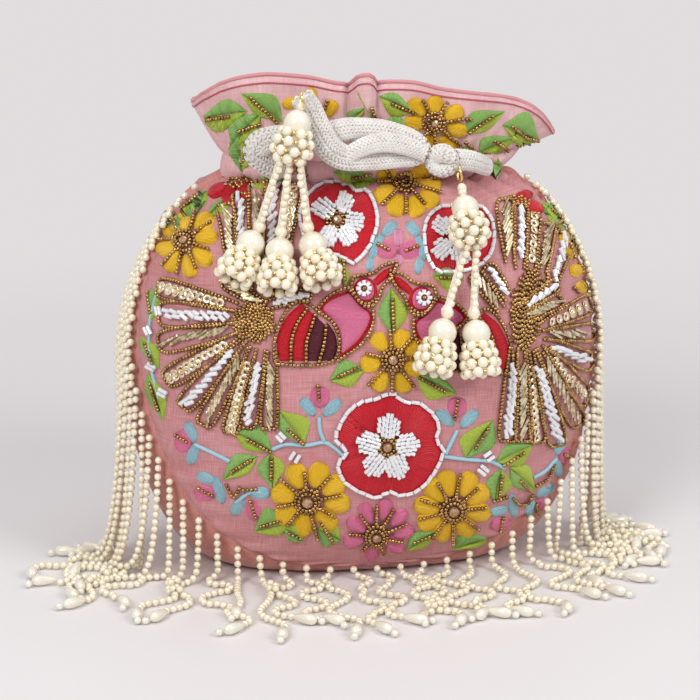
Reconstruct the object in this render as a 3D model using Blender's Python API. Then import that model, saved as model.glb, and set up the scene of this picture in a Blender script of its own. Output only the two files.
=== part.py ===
"""Drawstring potli bag: stitched fabric body, gathered ruffle, raised embroidery, pearl fringe
and two pearl tassels. Metres, +Z up, front towards -Y, origin at the middle of the base."""

import math

import bpy
import numpy as np
from mathutils import Vector

# Driving sizes of the stuffed body, base to neck
BODY_HEIGHT = 0.157
WIDEST_AT = 0.088
BASE_HALF_WIDTH, BASE_HALF_DEPTH = 0.058, 0.030
BELLY_HALF_WIDTH, BELLY_HALF_DEPTH = 0.096, 0.061
NECK_HALF_WIDTH, NECK_HALF_DEPTH = 0.055, 0.024
PLAN_ROUNDNESS = 2.4
SHOULDER_ROUNDNESS = 1.7

# Front and back seams: distance from the middle plane at the base and at the neck
SEAM_AT_BASE, SEAM_AT_NECK = 0.0415, 0.006
CUT_GAP = 0.0004
WALL = 0.0025
CARD_THICKNESS, CARD_MARGIN = 0.0015, 0.013
LINING_THICKNESS, LINING_GAP = 0.0008, 0.0028
CLEARANCE = 0.0003

# Channel, ruffle and hem
CHANNEL_HEIGHT, CHANNEL_PROUD, CHANNEL_WALL = 0.008, 0.003, 0.0045
RUFFLE_FRONT_HEIGHT, RUFFLE_SIDE_HEIGHT = 0.032, 0.013
RUFFLE_FLARE_WIDTH, RUFFLE_FLARE_DEPTH = 0.018, 0.004
RUFFLE_THICKNESS, RUFFLE_WAVE = 0.0018, 0.0022
PLEAT_PLACE, PLEAT_WIDTH, PLEAT_PROUD = -0.003, 0.0045, 0.0035
HEM_RADIUS = 0.0015

# Embroidery stands off the panel by a lift, then its own thickness; a long fan of feathers lies flatter
# across the panel's curve, so it needs more lift
MOTIF_LIFT, TAIL_LIFT = 0.0005, 0.0008
MOTIF_THICKNESS, MOTIF_DOME = 0.0007, 0.0006

# Fringe of pearl strands sewn into the front seam
STRAND_COUNT, STRAND_LENGTH, STRAND_WIDTH = 47, 0.128, 0.0026
TAPE_THICKNESS, TAPE_WIDTH = 0.0011, 0.0026
DROP_LENGTH, DROP_WIDTH = 0.010, 0.0042

# Drawstring
CORD_DIAMETER = 0.0065
KNOT_RADIUS = 0.0058

# Tassels
RING_RADIUS, RING_WIRE = 0.0026, 0.00055
CAP_PEARL, LINK_PEARL, COLLAR_PEARL, BIG_PEARL = 0.0056, 0.0022, 0.0024, 0.0054
CLUSTER_RADIUS, CLUSTER_HEIGHT = 0.0085, 0.012
BELL_RADIUS, BELL_HEIGHT = 0.0073, 0.0135
STRING_RADIUS = 0.0015
COLLAR_LIFT = 0.0042

COLOURS = {
    "pink_silk": (0.72, 0.38, 0.40, 1),
    "coral_silk": (0.60, 0.25, 0.24, 1),
    "lining_satin": (0.75, 0.45, 0.45, 1),
    "card": (0.55, 0.45, 0.33, 1),
    "cotton_cord": (0.78, 0.73, 0.67, 1),
    "pearl": (0.90, 0.83, 0.70, 1),
    "gold": (0.75, 0.53, 0.20, 1),
    "gold_beads": (0.30, 0.16, 0.05, 1),
    "red_thread": (0.52, 0.01, 0.02, 1),
    "yellow_thread": (0.82, 0.42, 0.02, 1),
    "green_thread": (0.20, 0.40, 0.06, 1),
    "pink_thread": (0.68, 0.12, 0.32, 1),
    "lilac_thread": (0.70, 0.25, 0.45, 1),
}
METALLIC = {"gold": 1.0, "gold_beads": 0.8}
ROUGHNESS = {"gold": 0.25, "gold_beads": 0.35, "pearl": 0.25, "lining_satin": 0.4}


def material(name):
    if name in bpy.data.materials:
        return bpy.data.materials[name]
    made = bpy.data.materials.new(name)
    made.use_nodes = True
    shader = made.node_tree.nodes["Principled BSDF"]
    shader.inputs["Base Color"].default_value = COLOURS[name]
    shader.inputs["Roughness"].default_value = ROUGHNESS.get(name, 0.75)
    shader.inputs["Metallic"].default_value = METALLIC.get(name, 0.0)
    made.diffuse_color = COLOURS[name]
    return made


def add_object(name, points, faces, finish, origin=(0, 0, 0)):
    """A mesh object whose points are given in the bag's frame and stored from its own origin."""
    origin = Vector(origin)
    mesh = bpy.data.meshes.new(name)
    mesh.from_pydata([Vector(p) - origin for p in points], [], faces)
    mesh.materials.append(material(finish))
    mesh.validate()
    mesh.update()
    made = bpy.data.objects.new(name, mesh)
    made.location = origin
    bpy.context.scene.collection.objects.link(made)
    return made


# The body's form

def half_sizes(z):
    """Half width and half depth of the body at height z."""
    z = min(max(z, 0.0), BODY_HEIGHT)
    if z < WIDEST_AT:
        share = math.sqrt(1 - (1 - z / WIDEST_AT) ** 2)
        start_w, start_d = BASE_HALF_WIDTH, BASE_HALF_DEPTH
    else:
        rise = (z - WIDEST_AT) / (BODY_HEIGHT - WIDEST_AT)
        share = max(0.0, 1 - rise**SHOULDER_ROUNDNESS) ** (1 / SHOULDER_ROUNDNESS)
        start_w, start_d = NECK_HALF_WIDTH, NECK_HALF_DEPTH
    return (
        start_w + (BELLY_HALF_WIDTH - start_w) * share,
        start_d + (BELLY_HALF_DEPTH - start_d) * share,
    )


def oval_depth(x, half_width, half_depth):
    """Distance from the middle plane of an oval's edge at x."""
    share = min(abs(x) / half_width, 1.0)
    return half_depth * (1 - share**PLAN_ROUNDNESS) ** (1 / PLAN_ROUNDNESS)


def body_normal(point):
    """Outward direction of the body's skin near a point on it."""
    x, y, z = point

    def fill(px, py, pz):
        w, d = half_sizes(pz)
        return (abs(px) / w) ** PLAN_ROUNDNESS + (abs(py) / d) ** PLAN_ROUNDNESS

    step = 0.0005
    low, high = max(z - step, 0.0), min(z + step, BODY_HEIGHT - 0.0008)
    if high <= low:
        low, high = BODY_HEIGHT - 0.003, BODY_HEIGHT - 0.0008
    slope = Vector((
        fill(x + step, y, z) - fill(x - step, y, z),
        fill(x, y + step, z) - fill(x, y - step, z),
        (fill(x, y, high) - fill(x, y, low)) * 2 * step / (high - low),
    ))
    if z < 0.0001:
        slope = Vector((0, 0, -1))
    return slope.normalized()


def seam_y(z):
    return -(SEAM_AT_NECK + (SEAM_AT_BASE - SEAM_AT_NECK) * (1 - z / BODY_HEIGHT))


def is_inside(x, y, z):
    if z < 0 or z > BODY_HEIGHT:
        return False
    w, d = half_sizes(z)
    return (abs(x) / w) ** PLAN_ROUNDNESS + (abs(y) / d) ** PLAN_ROUNDNESS < 1


def skin_along(angle, y_of_height):
    """Point of the skin seen from the belly's middle at an angle from straight down."""
    near, far = 0.0, 0.2
    for _ in range(50):
        middle = (near + far) / 2
        x, z = middle * math.sin(angle), WIDEST_AT - middle * math.cos(angle)
        inside = is_inside(x, y_of_height(z), z)
        near, far = (middle, far) if inside else (near, middle)
    x, z = near * math.sin(angle), WIDEST_AT - near * math.cos(angle)
    return Vector((x, y_of_height(z), z))


SEAM_STEPS = 14
NECK_ANGLE = math.atan2(NECK_HALF_WIDTH, -(BODY_HEIGHT - WIDEST_AT))


def seam_stations(shift):
    """Right half of the front seam from the bottom to the neck, moved by a shift in y."""
    found = []
    for i in range(SEAM_STEPS + 1):
        angle = NECK_ANGLE * (i / SEAM_STEPS) ** 0.85
        point = skin_along(angle, lambda z: seam_y(z) + shift)
        if i == SEAM_STEPS:
            across = abs(seam_y(BODY_HEIGHT) + shift)
            x = oval_depth(across, NECK_HALF_DEPTH, NECK_HALF_WIDTH)
            point = Vector((x, -across, BODY_HEIGHT))
        found.append((angle, point))
    return found


def inner(point, depth):
    """Point moved into the wall, kept level at the neck's cut edge."""
    normal = body_normal(point)
    if point.z >= BODY_HEIGHT - 0.0001:
        normal.z = 0
        normal.normalize()
    return point - depth * normal


def shell_from_rows(rows, wall):
    """Closed solid from a grid of skin points: a row may hold one point, its apex."""
    points, faces = [], []
    for layer in (0, wall):
        for row in rows:
            points.extend(row if layer == 0 else [inner(p, layer) for p in row])
    half = sum(len(row) for row in rows)
    starts = np.cumsum([0] + [len(row) for row in rows])[:-1]
    for r in range(len(rows) - 1):
        below, above = rows[r], rows[r + 1]
        a, b = int(starts[r]), int(starts[r + 1])
        for c in range(len(above) - 1):
            if len(below) == 1:
                faces.append((a, b + c + 1, b + c))
            else:
                faces.append((a + c, a + c + 1, b + c + 1, b + c))
    faces += [tuple(half + i for i in reversed(face)) for face in faces]
    edge = [int(s) for s in starts]
    edge += [int(starts[-1]) + c for c in range(1, len(rows[-1]))]
    edge += [int(starts[r]) + len(rows[r]) - 1 for r in range(len(rows) - 2, 0, -1)]
    if len(rows[0]) > 1:
        edge += [len(rows[0]) - 1 - c for c in range(len(rows[0]) - 1)]
    for i, start in enumerate(edge):
        end = edge[(i + 1) % len(edge)]
        faces.append((start, end, half + end, half + start))
    return points, faces


PANEL_COLUMNS = 14


def make_panel(name, side):
    """Front panel for side -1, back panel for side 1, with its rows between the seams."""
    rows = []
    for _, edge in seam_stations(-CUT_GAP / 2):
        w, d = half_sizes(edge.z)
        if edge.x < 0.001:
            rows.append([Vector((0, -oval_depth(0, w, d), edge.z))])
            continue
        row = []
        for c in range(PANEL_COLUMNS + 1):
            x = edge.x * math.sin((c / PANEL_COLUMNS * 2 - 1) * math.pi / 2)
            row.append(Vector((x, -oval_depth(x, w, d), edge.z)))
        row[0], row[-1] = Vector((-edge.x, edge.y, edge.z)), edge
        rows.append(row)
    points, faces = shell_from_rows(rows, WALL)
    if side > 0:
        points = [Vector((p.x, -p.y, p.z)) for p in points]
        faces = [tuple(reversed(face)) for face in faces]
    return add_object(name, points, faces, "pink_silk")


GUSSET_COLUMNS = 6


def make_gusset():
    """One band that runs down the left side, under the bag and up the right side."""
    stations = seam_stations(CUT_GAP / 2)
    rows = []
    for angle, edge in [(-a, p) for a, p in reversed(stations)] + stations[1:]:
        row = []
        for c in range(GUSSET_COLUMNS + 1):
            y = edge.y * (1 - 2 * c / GUSSET_COLUMNS)
            if edge.z >= BODY_HEIGHT:
                x = oval_depth(y, NECK_HALF_DEPTH, NECK_HALF_WIDTH)
                point = Vector((math.copysign(x, angle), y, BODY_HEIGHT))
            else:
                point = skin_along(angle, lambda z, y=y: y)
            row.append(point)
        rows.append(row)
    points, faces = shell_from_rows(rows, WALL)
    return add_object("gusset_band", points, faces, "coral_silk")


def oval_ring(half_width, half_depth, z, count):
    ring = []
    for i in range(count):
        c, s = math.cos(i * math.tau / count), math.sin(i * math.tau / count)
        power = 2 / PLAN_ROUNDNESS
        x = half_width * math.copysign(abs(c) ** power, c)
        y = half_depth * math.copysign(abs(s) ** power, s)
        ring.append(Vector((x, y, z)))
    return ring


def tube_of_rings(rings, cap_start=True, cap_end=True, closed=False):
    """Faces for equal rings one after another, each ring anticlockwise seen from its end."""
    count, faces = len(rings[0]), []
    spans = len(rings) if closed else len(rings) - 1
    for r in range(spans):
        a, b = r * count, (r + 1) % len(rings) * count
        for i in range(count):
            j = (i + 1) % count
            faces.append((a + i, a + j, b + j, b + i))
    if not closed and cap_start:
        faces.append(tuple(reversed(range(count))))
    if not closed and cap_end:
        faces.append(tuple(range((len(rings) - 1) * count, len(rings) * count)))
    return [p for ring in rings for p in ring], faces


FLOOR_OF_BAG = WALL + CLEARANCE + CARD_THICKNESS


def make_card():
    half_width, half_depth = BASE_HALF_WIDTH - CARD_MARGIN, BASE_HALF_DEPTH - CARD_MARGIN
    low = WALL + CLEARANCE
    rings = [oval_ring(half_width, half_depth, z, 24) for z in (low, low + CARD_THICKNESS)]
    points, faces = tube_of_rings(rings)
    return add_object("base_card", points, faces, "card")


def level_inset(point, depth):
    """Point moved inwards on its own level until it lies a depth inside the skin."""
    normal = body_normal(point)
    normal.z = 0
    slant = 1.0 if point.z >= BODY_HEIGHT - 0.0001 else max(normal.length, 0.3)
    return point - normal.normalized() * depth / slant


def make_lining():
    """Satin bucket inside the walls, open at the neck."""
    count, depth = 24, WALL + LINING_GAP
    low = FLOOR_OF_BAG + LINING_GAP
    heights = [low + (BODY_HEIGHT - low) * share for share in (0, 0.08, 0.22, 0.42, 0.6, 0.76, 0.9, 1)]

    def skin(more):
        rings = []
        for z in heights:
            rings.append([level_inset(p, depth + more) for p in oval_ring(*half_sizes(z), z, count)])
        return rings

    outside = skin(0)
    inside = skin(LINING_THICKNESS)
    for point in inside[0]:
        point.z += LINING_THICKNESS
    points, faces = tube_of_rings(outside + inside[::-1])
    return add_object("lining", points, faces, "lining_satin")


def make_channel():
    """Stitched tunnel round the neck that the drawstring runs in."""
    low, count = BODY_HEIGHT + CLEARANCE, 32
    high = low + CHANNEL_HEIGHT
    rings = []
    for proud, z in ((0, low), (CHANNEL_PROUD, low + CHANNEL_HEIGHT / 2), (0, high)):
        rings.append(oval_ring(NECK_HALF_WIDTH + proud, NECK_HALF_DEPTH + proud, z, count))
    bore = (NECK_HALF_WIDTH - CHANNEL_WALL, NECK_HALF_DEPTH - CHANNEL_WALL)
    rings += [oval_ring(*bore, high, count), oval_ring(*bore, low, count)]
    points, faces = tube_of_rings(rings, closed=True)
    return add_object("drawstring_channel", points, faces, "pink_silk")


RUFFLE_FOOT = BODY_HEIGHT + CHANNEL_HEIGHT + 2 * CLEARANCE
RUFFLE_COLUMNS = 60


def ruffle_point(angle, rise, inset):
    """Point of the ruffle's cloth: rise runs 0 to 1 from its foot to its hem."""
    c, s = math.cos(angle), math.sin(angle)
    power = 2 / PLAN_ROUNDNESS
    flare = rise**0.8
    half_width = NECK_HALF_WIDTH - inset + RUFFLE_FLARE_WIDTH * flare
    half_depth = NECK_HALF_DEPTH - inset + RUFFLE_FLARE_DEPTH * flare
    wave = RUFFLE_WAVE * flare * math.cos(7 * angle + 0.6)
    x = half_width * math.copysign(abs(c) ** power, c)
    y = half_depth * math.copysign(abs(s) ** power, s) + math.copysign(wave * abs(s), s)
    if s < 0:
        off = (x - PLEAT_PLACE) / PLEAT_WIDTH
        y -= flare * PLEAT_PROUD * (math.exp(-off * off) - 0.8 * math.exp(-((abs(off) - 2) ** 2)))
    tall = RUFFLE_SIDE_HEIGHT + (RUFFLE_FRONT_HEIGHT - RUFFLE_SIDE_HEIGHT) * (1 - c**4)
    return Vector((x, y, RUFFLE_FOOT + tall * rise))


def make_ruffle():
    angles = [i * math.tau / RUFFLE_COLUMNS for i in range(RUFFLE_COLUMNS)]
    rises = (0, 0.3, 0.65, 1)
    rings = [[ruffle_point(a, rise, 0) for a in angles] for rise in rises]
    rings += [[ruffle_point(a, rise, RUFFLE_THICKNESS) for a in angles] for rise in rises[::-1]]
    points, faces = tube_of_rings(rings, closed=True)
    return add_object("ruffle", points, faces, "pink_silk")


def make_hem():
    """Rolled edge that follows the ruffle's top, resting a clearance above it."""
    middle = []
    for i in range(RUFFLE_COLUMNS):
        point = ruffle_point(i * math.tau / RUFFLE_COLUMNS, 1, RUFFLE_THICKNESS / 2)
        middle.append(point + Vector((0, 0, HEM_RADIUS + 2 * CLEARANCE)))
    rings = []
    for i, point in enumerate(middle):
        along = (middle[(i + 1) % RUFFLE_COLUMNS] - middle[i - 1]).normalized()
        side = along.cross(Vector((0, 0, 1))).normalized()
        up = side.cross(along)
        ring = []
        for k in range(6):
            turn = (k + 0.5) * math.tau / 6
            ring.append(point + HEM_RADIUS * (math.cos(turn) * side + math.sin(turn) * up))
        rings.append(ring[::-1])
    points, faces = tube_of_rings(rings, closed=True)
    return add_object("ruffle_hem", points, faces, "coral_silk")


# Embroidery, laid out on the panel in arc length

ARC_HEIGHTS = np.linspace(0, BODY_HEIGHT, 400)
ARC_DEPTHS = np.array([half_sizes(z)[1] for z in ARC_HEIGHTS])
ARC_LENGTHS = np.concatenate(
    ([0], np.cumsum(np.hypot(np.diff(ARC_HEIGHTS), np.diff(ARC_DEPTHS))))
)


def panel_point(x, z, across, up, lift):
    """Point of the front skin a distance across and up its surface from the one at x, z."""
    height = float(np.interp(np.interp(z, ARC_HEIGHTS, ARC_LENGTHS) + up, ARC_LENGTHS, ARC_HEIGHTS))
    w, d = half_sizes(height)
    widths = w * np.sin(np.linspace(-math.pi / 2, math.pi / 2, 161))
    depths = np.array([oval_depth(v, w, d) for v in widths])
    lengths = np.concatenate(([0], np.cumsum(np.hypot(np.diff(widths), np.diff(depths)))))
    there = float(np.interp(np.interp(x, widths, lengths) + across, lengths, widths))
    point = Vector((there, -oval_depth(there, w, d), height))
    return point + lift * body_normal(point)


def make_motif(name, place, outline, finish, spokes=24, rings=1, off=MOTIF_LIFT):
    """Raised star-shaped solid: the outline gives its radius at each angle round its middle."""
    x, z = place
    top, bottom = [], []
    shares = [(r + 1) / (rings + 1) for r in range(rings)] + [1.0]
    for layer, lift in ((top, off + MOTIF_THICKNESS), (bottom, off)):
        dome = MOTIF_DOME if layer is top else 0.0
        layer.append(panel_point(x, z, 0, 0, lift + dome))
        for share in shares:
            rise = lift + dome * (1 - share)
            for k in range(spokes):
                turn = k * math.tau / spokes
                radius = outline(turn) * share
                across, up = radius * math.cos(turn), radius * math.sin(turn)
                layer.append(panel_point(x, z, across, up, rise))
    faces, half = [], len(top)
    for k in range(spokes):
        j = (k + 1) % spokes
        faces.append((0, 1 + k, 1 + j))
        for r in range(rings):
            a = 1 + r * spokes
            faces.append((a + k, a + spokes + k, a + spokes + j, a + j))
    faces += [tuple(half + i for i in reversed(face)) for face in faces]
    rim = 1 + rings * spokes
    for k in range(spokes):
        j = (k + 1) % spokes
        faces.append((rim + k, half + rim + k, half + rim + j, rim + j))
    return add_object(name, top + bottom, faces, finish, origin=top[0])


def petals(radius, count, notch=0.62, turn=0.0):
    def outline(angle):
        wave = abs(math.cos(count * (angle - turn) / 2)) ** 0.6
        return radius * (notch + (1 - notch) * wave)
    return outline


def leaf(length, width, lean):
    """Pointed oval of half length and half width, leaning by an angle from across."""
    def outline(angle):
        c, s = abs(math.cos(angle - lean)), abs(math.sin(angle - lean))
        return 1 / (c / length + (s / width) ** 1.2 * width**0.2)
    return outline


def feathers(list_of_feathers, hub, spread):
    """Fan of rounded feathers, each an angle and a length, round a small hub."""
    def outline(angle):
        reach = hub
        for direction, length in list_of_feathers:
            off = (angle - math.radians(direction) + math.pi) % math.tau - math.pi
            reach = max(reach, length * math.exp(-((off / spread) ** 4)))
        return reach
    return outline


def oval(half_width, half_height):
    def outline(angle):
        return 1 / math.hypot(math.cos(angle) / half_width, math.sin(angle) / half_height)
    return outline


LEFT_TAIL = [(98, 0.036), (170, 0.036), (192, 0.037), (214, 0.038), (236, 0.038), (258, 0.036), (277, 0.034)]
RIGHT_TAIL = [(82, 0.034), (62, 0.034), (8, 0.034), (-14, 0.034), (-38, 0.038), (-60, 0.038), (-82, 0.037)]


def make_embroidery():
    poppies = {
        "poppy_centre": ((0.0, 0.060), 0.0200),
        "poppy_left": ((-0.013, 0.1425), 0.0125),
        "poppy_right": ((0.032, 0.1365), 0.0120),
    }
    for name, (place, radius) in poppies.items():
        make_motif(name, place, petals(radius, 5, 0.86, math.pi / 2), "red_thread", spokes=30, rings=2)
    flowers = {
        "flower_neck": ((0.014, 0.1505), 0.0092, 8, "yellow_thread"),
        "flower_middle": ((0.002, 0.0955), 0.0093, 8, "yellow_thread"),
        "flower_low_left": ((-0.030, 0.040), 0.0130, 8, "yellow_thread"),
        "flower_low_right": ((0.028, 0.0335), 0.0130, 8, "yellow_thread"),
        "flower_shoulder_left": ((-0.073, 0.134), 0.0095, 8, "yellow_thread"),
        "flower_edge_right": ((0.081, 0.121), 0.0070, 8, "yellow_thread"),
        "flower_bottom": ((-0.003, 0.0225), 0.0088, 8, "pink_thread"),
    }
    for name, (place, radius, count, finish) in flowers.items():
        make_motif(name, place, petals(radius, count, 0.6), finish)
    make_motif("bud_pair", (0.007, 0.134), oval(0.0065, 0.0055), "lilac_thread", spokes=14)
    left, right = feathers(LEFT_TAIL, 0.0028, 0.22), feathers(RIGHT_TAIL, 0.0028, 0.22)
    make_motif("tail_left", (-0.045, 0.108), left, "gold_beads", spokes=50, rings=4, off=TAIL_LIFT)
    make_motif("tail_right", (0.054, 0.102), right, "gold_beads", spokes=50, rings=4, off=TAIL_LIFT)
    make_motif("wing_left", (-0.031, 0.105), oval(0.0105, 0.0105), "red_thread")
    make_motif("wing_right", (0.0385, 0.100), oval(0.0105, 0.0105), "red_thread")
    make_motif("neck_left", (-0.0125, 0.112), oval(0.0065, 0.0115), "pink_thread", spokes=18)
    make_motif("neck_right", (0.0185, 0.108), oval(0.0065, 0.0115), "pink_thread", spokes=18)
    leaves = {
        "leaf_between_heads": ((0.003, 0.1145), 0.0082, 0.0052, 90),
        "leaf_middle_left": ((-0.014, 0.090), 0.0060, 0.0042, 10),
        "leaf_middle_right": ((0.019, 0.084), 0.0080, 0.0045, -25),
        "leaf_column_top": ((-0.0855, 0.113), 0.0085, 0.0032, 95),
        "leaf_column_middle": ((-0.088, 0.092), 0.0085, 0.0032, 85),
        "leaf_column_low": ((-0.086, 0.071), 0.0085, 0.0032, 95),
    }
    for name, (place, length, width, lean) in leaves.items():
        make_motif(name, place, leaf(length, width, math.radians(lean)), "green_thread", spokes=14)
    for name, place in {"leaf_trio_left": (-0.048, 0.055), "leaf_trio_right": (0.044, 0.050)}.items():
        make_motif(name, place, petals(0.0105, 3, 0.35, math.pi / 2), "green_thread", spokes=18)


# Fringe

def swing(start, end, share):
    """Share of the way from start to end, easing in and out."""
    share = min(max(share, 0.0), 1.0)
    return start + (end - start) * share * share * (3 - 2 * share)


STRAND_OFF = 0.0032
FLOOR_OFF = 0.0023
HIGHEST_HANG_Y, LOWEST_HANG_Y = 0.026, -0.040
FRONT_BUNCHING, SIDE_BUNCHING = 0.42, 0.50


def strand_route(start, outward):
    """Points of one strand: over the gusset, down by its weight, then out along the floor."""
    side = math.copysign(1, start.x)
    on_side = min(max((start.z - 0.018) / 0.03, 0.0), 1.0)
    height_share = (start.z - 0.018) / (BODY_HEIGHT - 0.018)
    hang_y = LOWEST_HANG_Y + (HIGHEST_HANG_Y - LOWEST_HANG_Y) * max(height_share, 0.0)
    point = start + outward * STRAND_OFF
    route, left, step = [start.copy(), point.copy()], STRAND_LENGTH - STRAND_OFF, 0.002
    reach = abs(start.x) * 0.9
    floor_way = Vector((side * on_side + start.x / 0.13, -1.0 + 0.95 * on_side, 0)).normalized()
    bunching = FRONT_BUNCHING + (SIDE_BUNCHING - FRONT_BUNCHING) * on_side
    while left > 0:
        if point.z <= FLOOR_OFF + 0.0005:
            there = point + floor_way * step * bunching
            left -= step
        else:
            z = max(point.z - step, FLOOR_OFF)
            if on_side > 0:
                y = swing(start.y, hang_y, (start.z - z) / 0.06)
                w, d = half_sizes(z)
                reach = max(reach, oval_depth(y, d, w) + STRAND_OFF)
                there = Vector((side * reach, y, z))
            else:
                there = Vector((start.x, start.y - swing(0.003, 0.007, (start.z - z) / 0.02), z))
            left -= (there - point).length
        point = there
        route.append(point.copy())
    return route


def thin_route(route, count):
    lengths = [0.0]
    for a, b in zip(route, route[1:]):
        lengths.append(lengths[-1] + (b - a).length)
    wanted = np.linspace(lengths[1], lengths[-1], count)
    return [Vector([float(np.interp(s, lengths, [p[k] for p in route])) for k in range(3)]) for s in wanted]


STRAND_RINGS = 7


def seam_place(share):
    """Point of the seam and its skin direction; share runs -1 to 1 from left neck to right."""
    angle = abs(share) * NECK_ANGLE * 0.97
    point = skin_along(angle, seam_y)
    normal = body_normal(point)
    if share < 0:
        point.x, normal.x = -point.x, -normal.x
    return point, normal


def make_fringe():
    """Tape on the seam with every strand grown out of one of its faces, as one solid."""
    samples = [seam_place(s)[0] for s in np.linspace(-1, 1, 401)]
    lengths = np.concatenate(([0], np.cumsum([(b - a).length for a, b in zip(samples, samples[1:])])))
    pitch = lengths[-1] / STRAND_COUNT
    points, faces, rings = [], [], []
    for i in range(STRAND_COUNT):
        for edge in (-0.5, 0.5):
            at = (i + 0.5) * pitch + edge * STRAND_WIDTH
            point, normal = seam_place(float(np.interp(at, lengths, np.linspace(-1, 1, 401))))
            ahead, _ = seam_place(float(np.interp(at + 0.001, lengths, np.linspace(-1, 1, 401))))
            along = (ahead - point).normalized()
            across = normal.cross(along).normalized()
            ring = []
            for a, n in ((-0.5, 0), (0.5, 0), (0.5, 1), (-0.5, 1)):
                lift = CLEARANCE + 0.0003 + n * TAPE_THICKNESS
                ring.append(point + across * a * TAPE_WIDTH + normal * lift)
            rings.append((ring, point, normal, along))
    for ring, *_ in rings:
        points.extend(ring)
    for r in range(len(rings) - 1):
        a, b = 4 * r, 4 * (r + 1)
        for k in range(4):
            j = (k + 1) % 4
            if k == 2 and r % 2 == 0:
                continue
            faces.append((a + k, a + j, b + j, b + k))
    faces.append((3, 2, 1, 0))
    end = 4 * (len(rings) - 1)
    faces.append((end, end + 1, end + 2, end + 3))
    for i in range(STRAND_COUNT):
        (ring, point, normal, along), (far, *_) = rings[2 * i], rings[2 * i + 1]
        middle = (ring[2] + ring[3] + far[2] + far[3]) / 4
        grow_strand(points, faces, (8 * i + 2, 8 * i + 3, 8 * i + 7, 8 * i + 6), middle, normal, along)
    return add_object("pearl_fringe", points, faces, "pearl")


def grow_strand(points, faces, rim, start, normal, along):
    """Square tube from the four rim points along the strand, ending in its drop pearl."""
    route = thin_route(strand_route(start, normal), STRAND_RINGS)
    way = (route[-1] - route[-2]).normalized()
    stations = [(p, STRAND_WIDTH) for p in route]
    stations[-1] = (route[-1], STRAND_WIDTH * 0.5)
    stations.append((route[-1] + way * DROP_LENGTH * 0.55, DROP_WIDTH))
    stations.append((route[-1] + way * DROP_LENGTH, STRAND_WIDTH * 0.5))
    last = list(rim)
    side = along.copy()
    for i, (point, width) in enumerate(stations):
        point.z = max(point.z, 0.72 * width + CLEARANCE)
        before = start if i == 0 else stations[i - 1][0]
        after = stations[min(i + 1, len(stations) - 1)][0]
        heading = (after - before).normalized()
        side = (side - heading * side.dot(heading)).normalized()
        up = heading.cross(side)
        first = len(points)
        for s, u in ((-1, 1), (-1, -1), (1, -1), (1, 1)):
            points.append(point + (side * s + up * u) * width / 2)
        new = [first, first + 1, first + 2, first + 3]
        for k in range(4):
            j = (k + 1) % 4
            faces.append((last[k], last[j], new[j], new[k]))
        last = new
    faces.append(tuple(last))


# Drawstring

LONG_ROUTE = [
    (-0.036, -0.0245, 0.1622), (-0.0375, -0.0300, 0.1626), (-0.043, -0.0345, 0.165),
    (-0.0475, -0.0358, 0.1705), (-0.045, -0.0360, 0.177), (-0.038, -0.0360, 0.180),
    (-0.029, -0.0358, 0.179), (-0.020, -0.0358, 0.180), (-0.010, -0.0362, 0.182),
    (0.002, -0.0366, 0.1815), (0.011, -0.0366, 0.1785), (0.0172, -0.0368, 0.172),
    (0.0145, -0.0372, 0.166), (0.006, -0.0378, 0.164), (-0.005, -0.0388, 0.165),
    (-0.013, -0.0408, 0.1675), (-0.019, -0.0432, 0.173), (-0.023, -0.0436, 0.1805),
    (-0.0262, -0.0432, 0.188), (-0.0284, -0.0433, 0.1920), (-0.0293, -0.0440, 0.1935),
]
SHORT_ROUTE = [
    (0.0470, -0.0222, 0.1612), (0.0445, -0.0265, 0.1625), (0.041, -0.0305, 0.1645),
    (0.0365, -0.0342, 0.1662), (0.0318, -0.0368, 0.1672),
]
KNOT_PLACE = (0.0254, -0.0380, 0.1672)


def smooth_route(route, spacing):
    """Evenly spaced points of the smooth curve through a route's own points."""
    points = [Vector(p) for p in route]
    ends = [2 * points[0] - points[1]] + points + [2 * points[-1] - points[-2]]
    fine = []
    for i in range(1, len(ends) - 2):
        a, b, c, d = ends[i - 1:i + 3]
        for k in range(12):
            t = k / 12
            fine.append(0.5 * (2 * b + (c - a) * t + (2 * a - 5 * b + 4 * c - d) * t**2
                               + (3 * b - a - 3 * c + d) * t**3))
    fine.append(points[-1])
    length = sum((b - a).length for a, b in zip(fine, fine[1:]))
    count = max(4, round(length / spacing) + 1)
    lengths = [0.0]
    for a, b in zip(fine, fine[1:]):
        lengths.append(lengths[-1] + (b - a).length)
    wanted = np.linspace(0, length, count)
    return [[float(np.interp(s, lengths, [p[k] for p in fine])) for k in range(3)] for s in wanted]


def make_cord(name, route):
    curve = bpy.data.curves.new(name, "CURVE")
    curve.dimensions = "3D"
    curve.bevel_depth = CORD_DIAMETER / 2
    curve.bevel_resolution = 2
    curve.use_fill_caps = True
    spline = curve.splines.new("POLY")
    places = smooth_route(route, CORD_DIAMETER)
    spline.points.add(len(places) - 1)
    for target, place in zip(spline.points, places):
        target.co = (*place, 1)
    curve.materials.append(material("cotton_cord"))
    made = bpy.data.objects.new(name, curve)
    bpy.context.scene.collection.objects.link(made)
    return made


# Tassels

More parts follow.
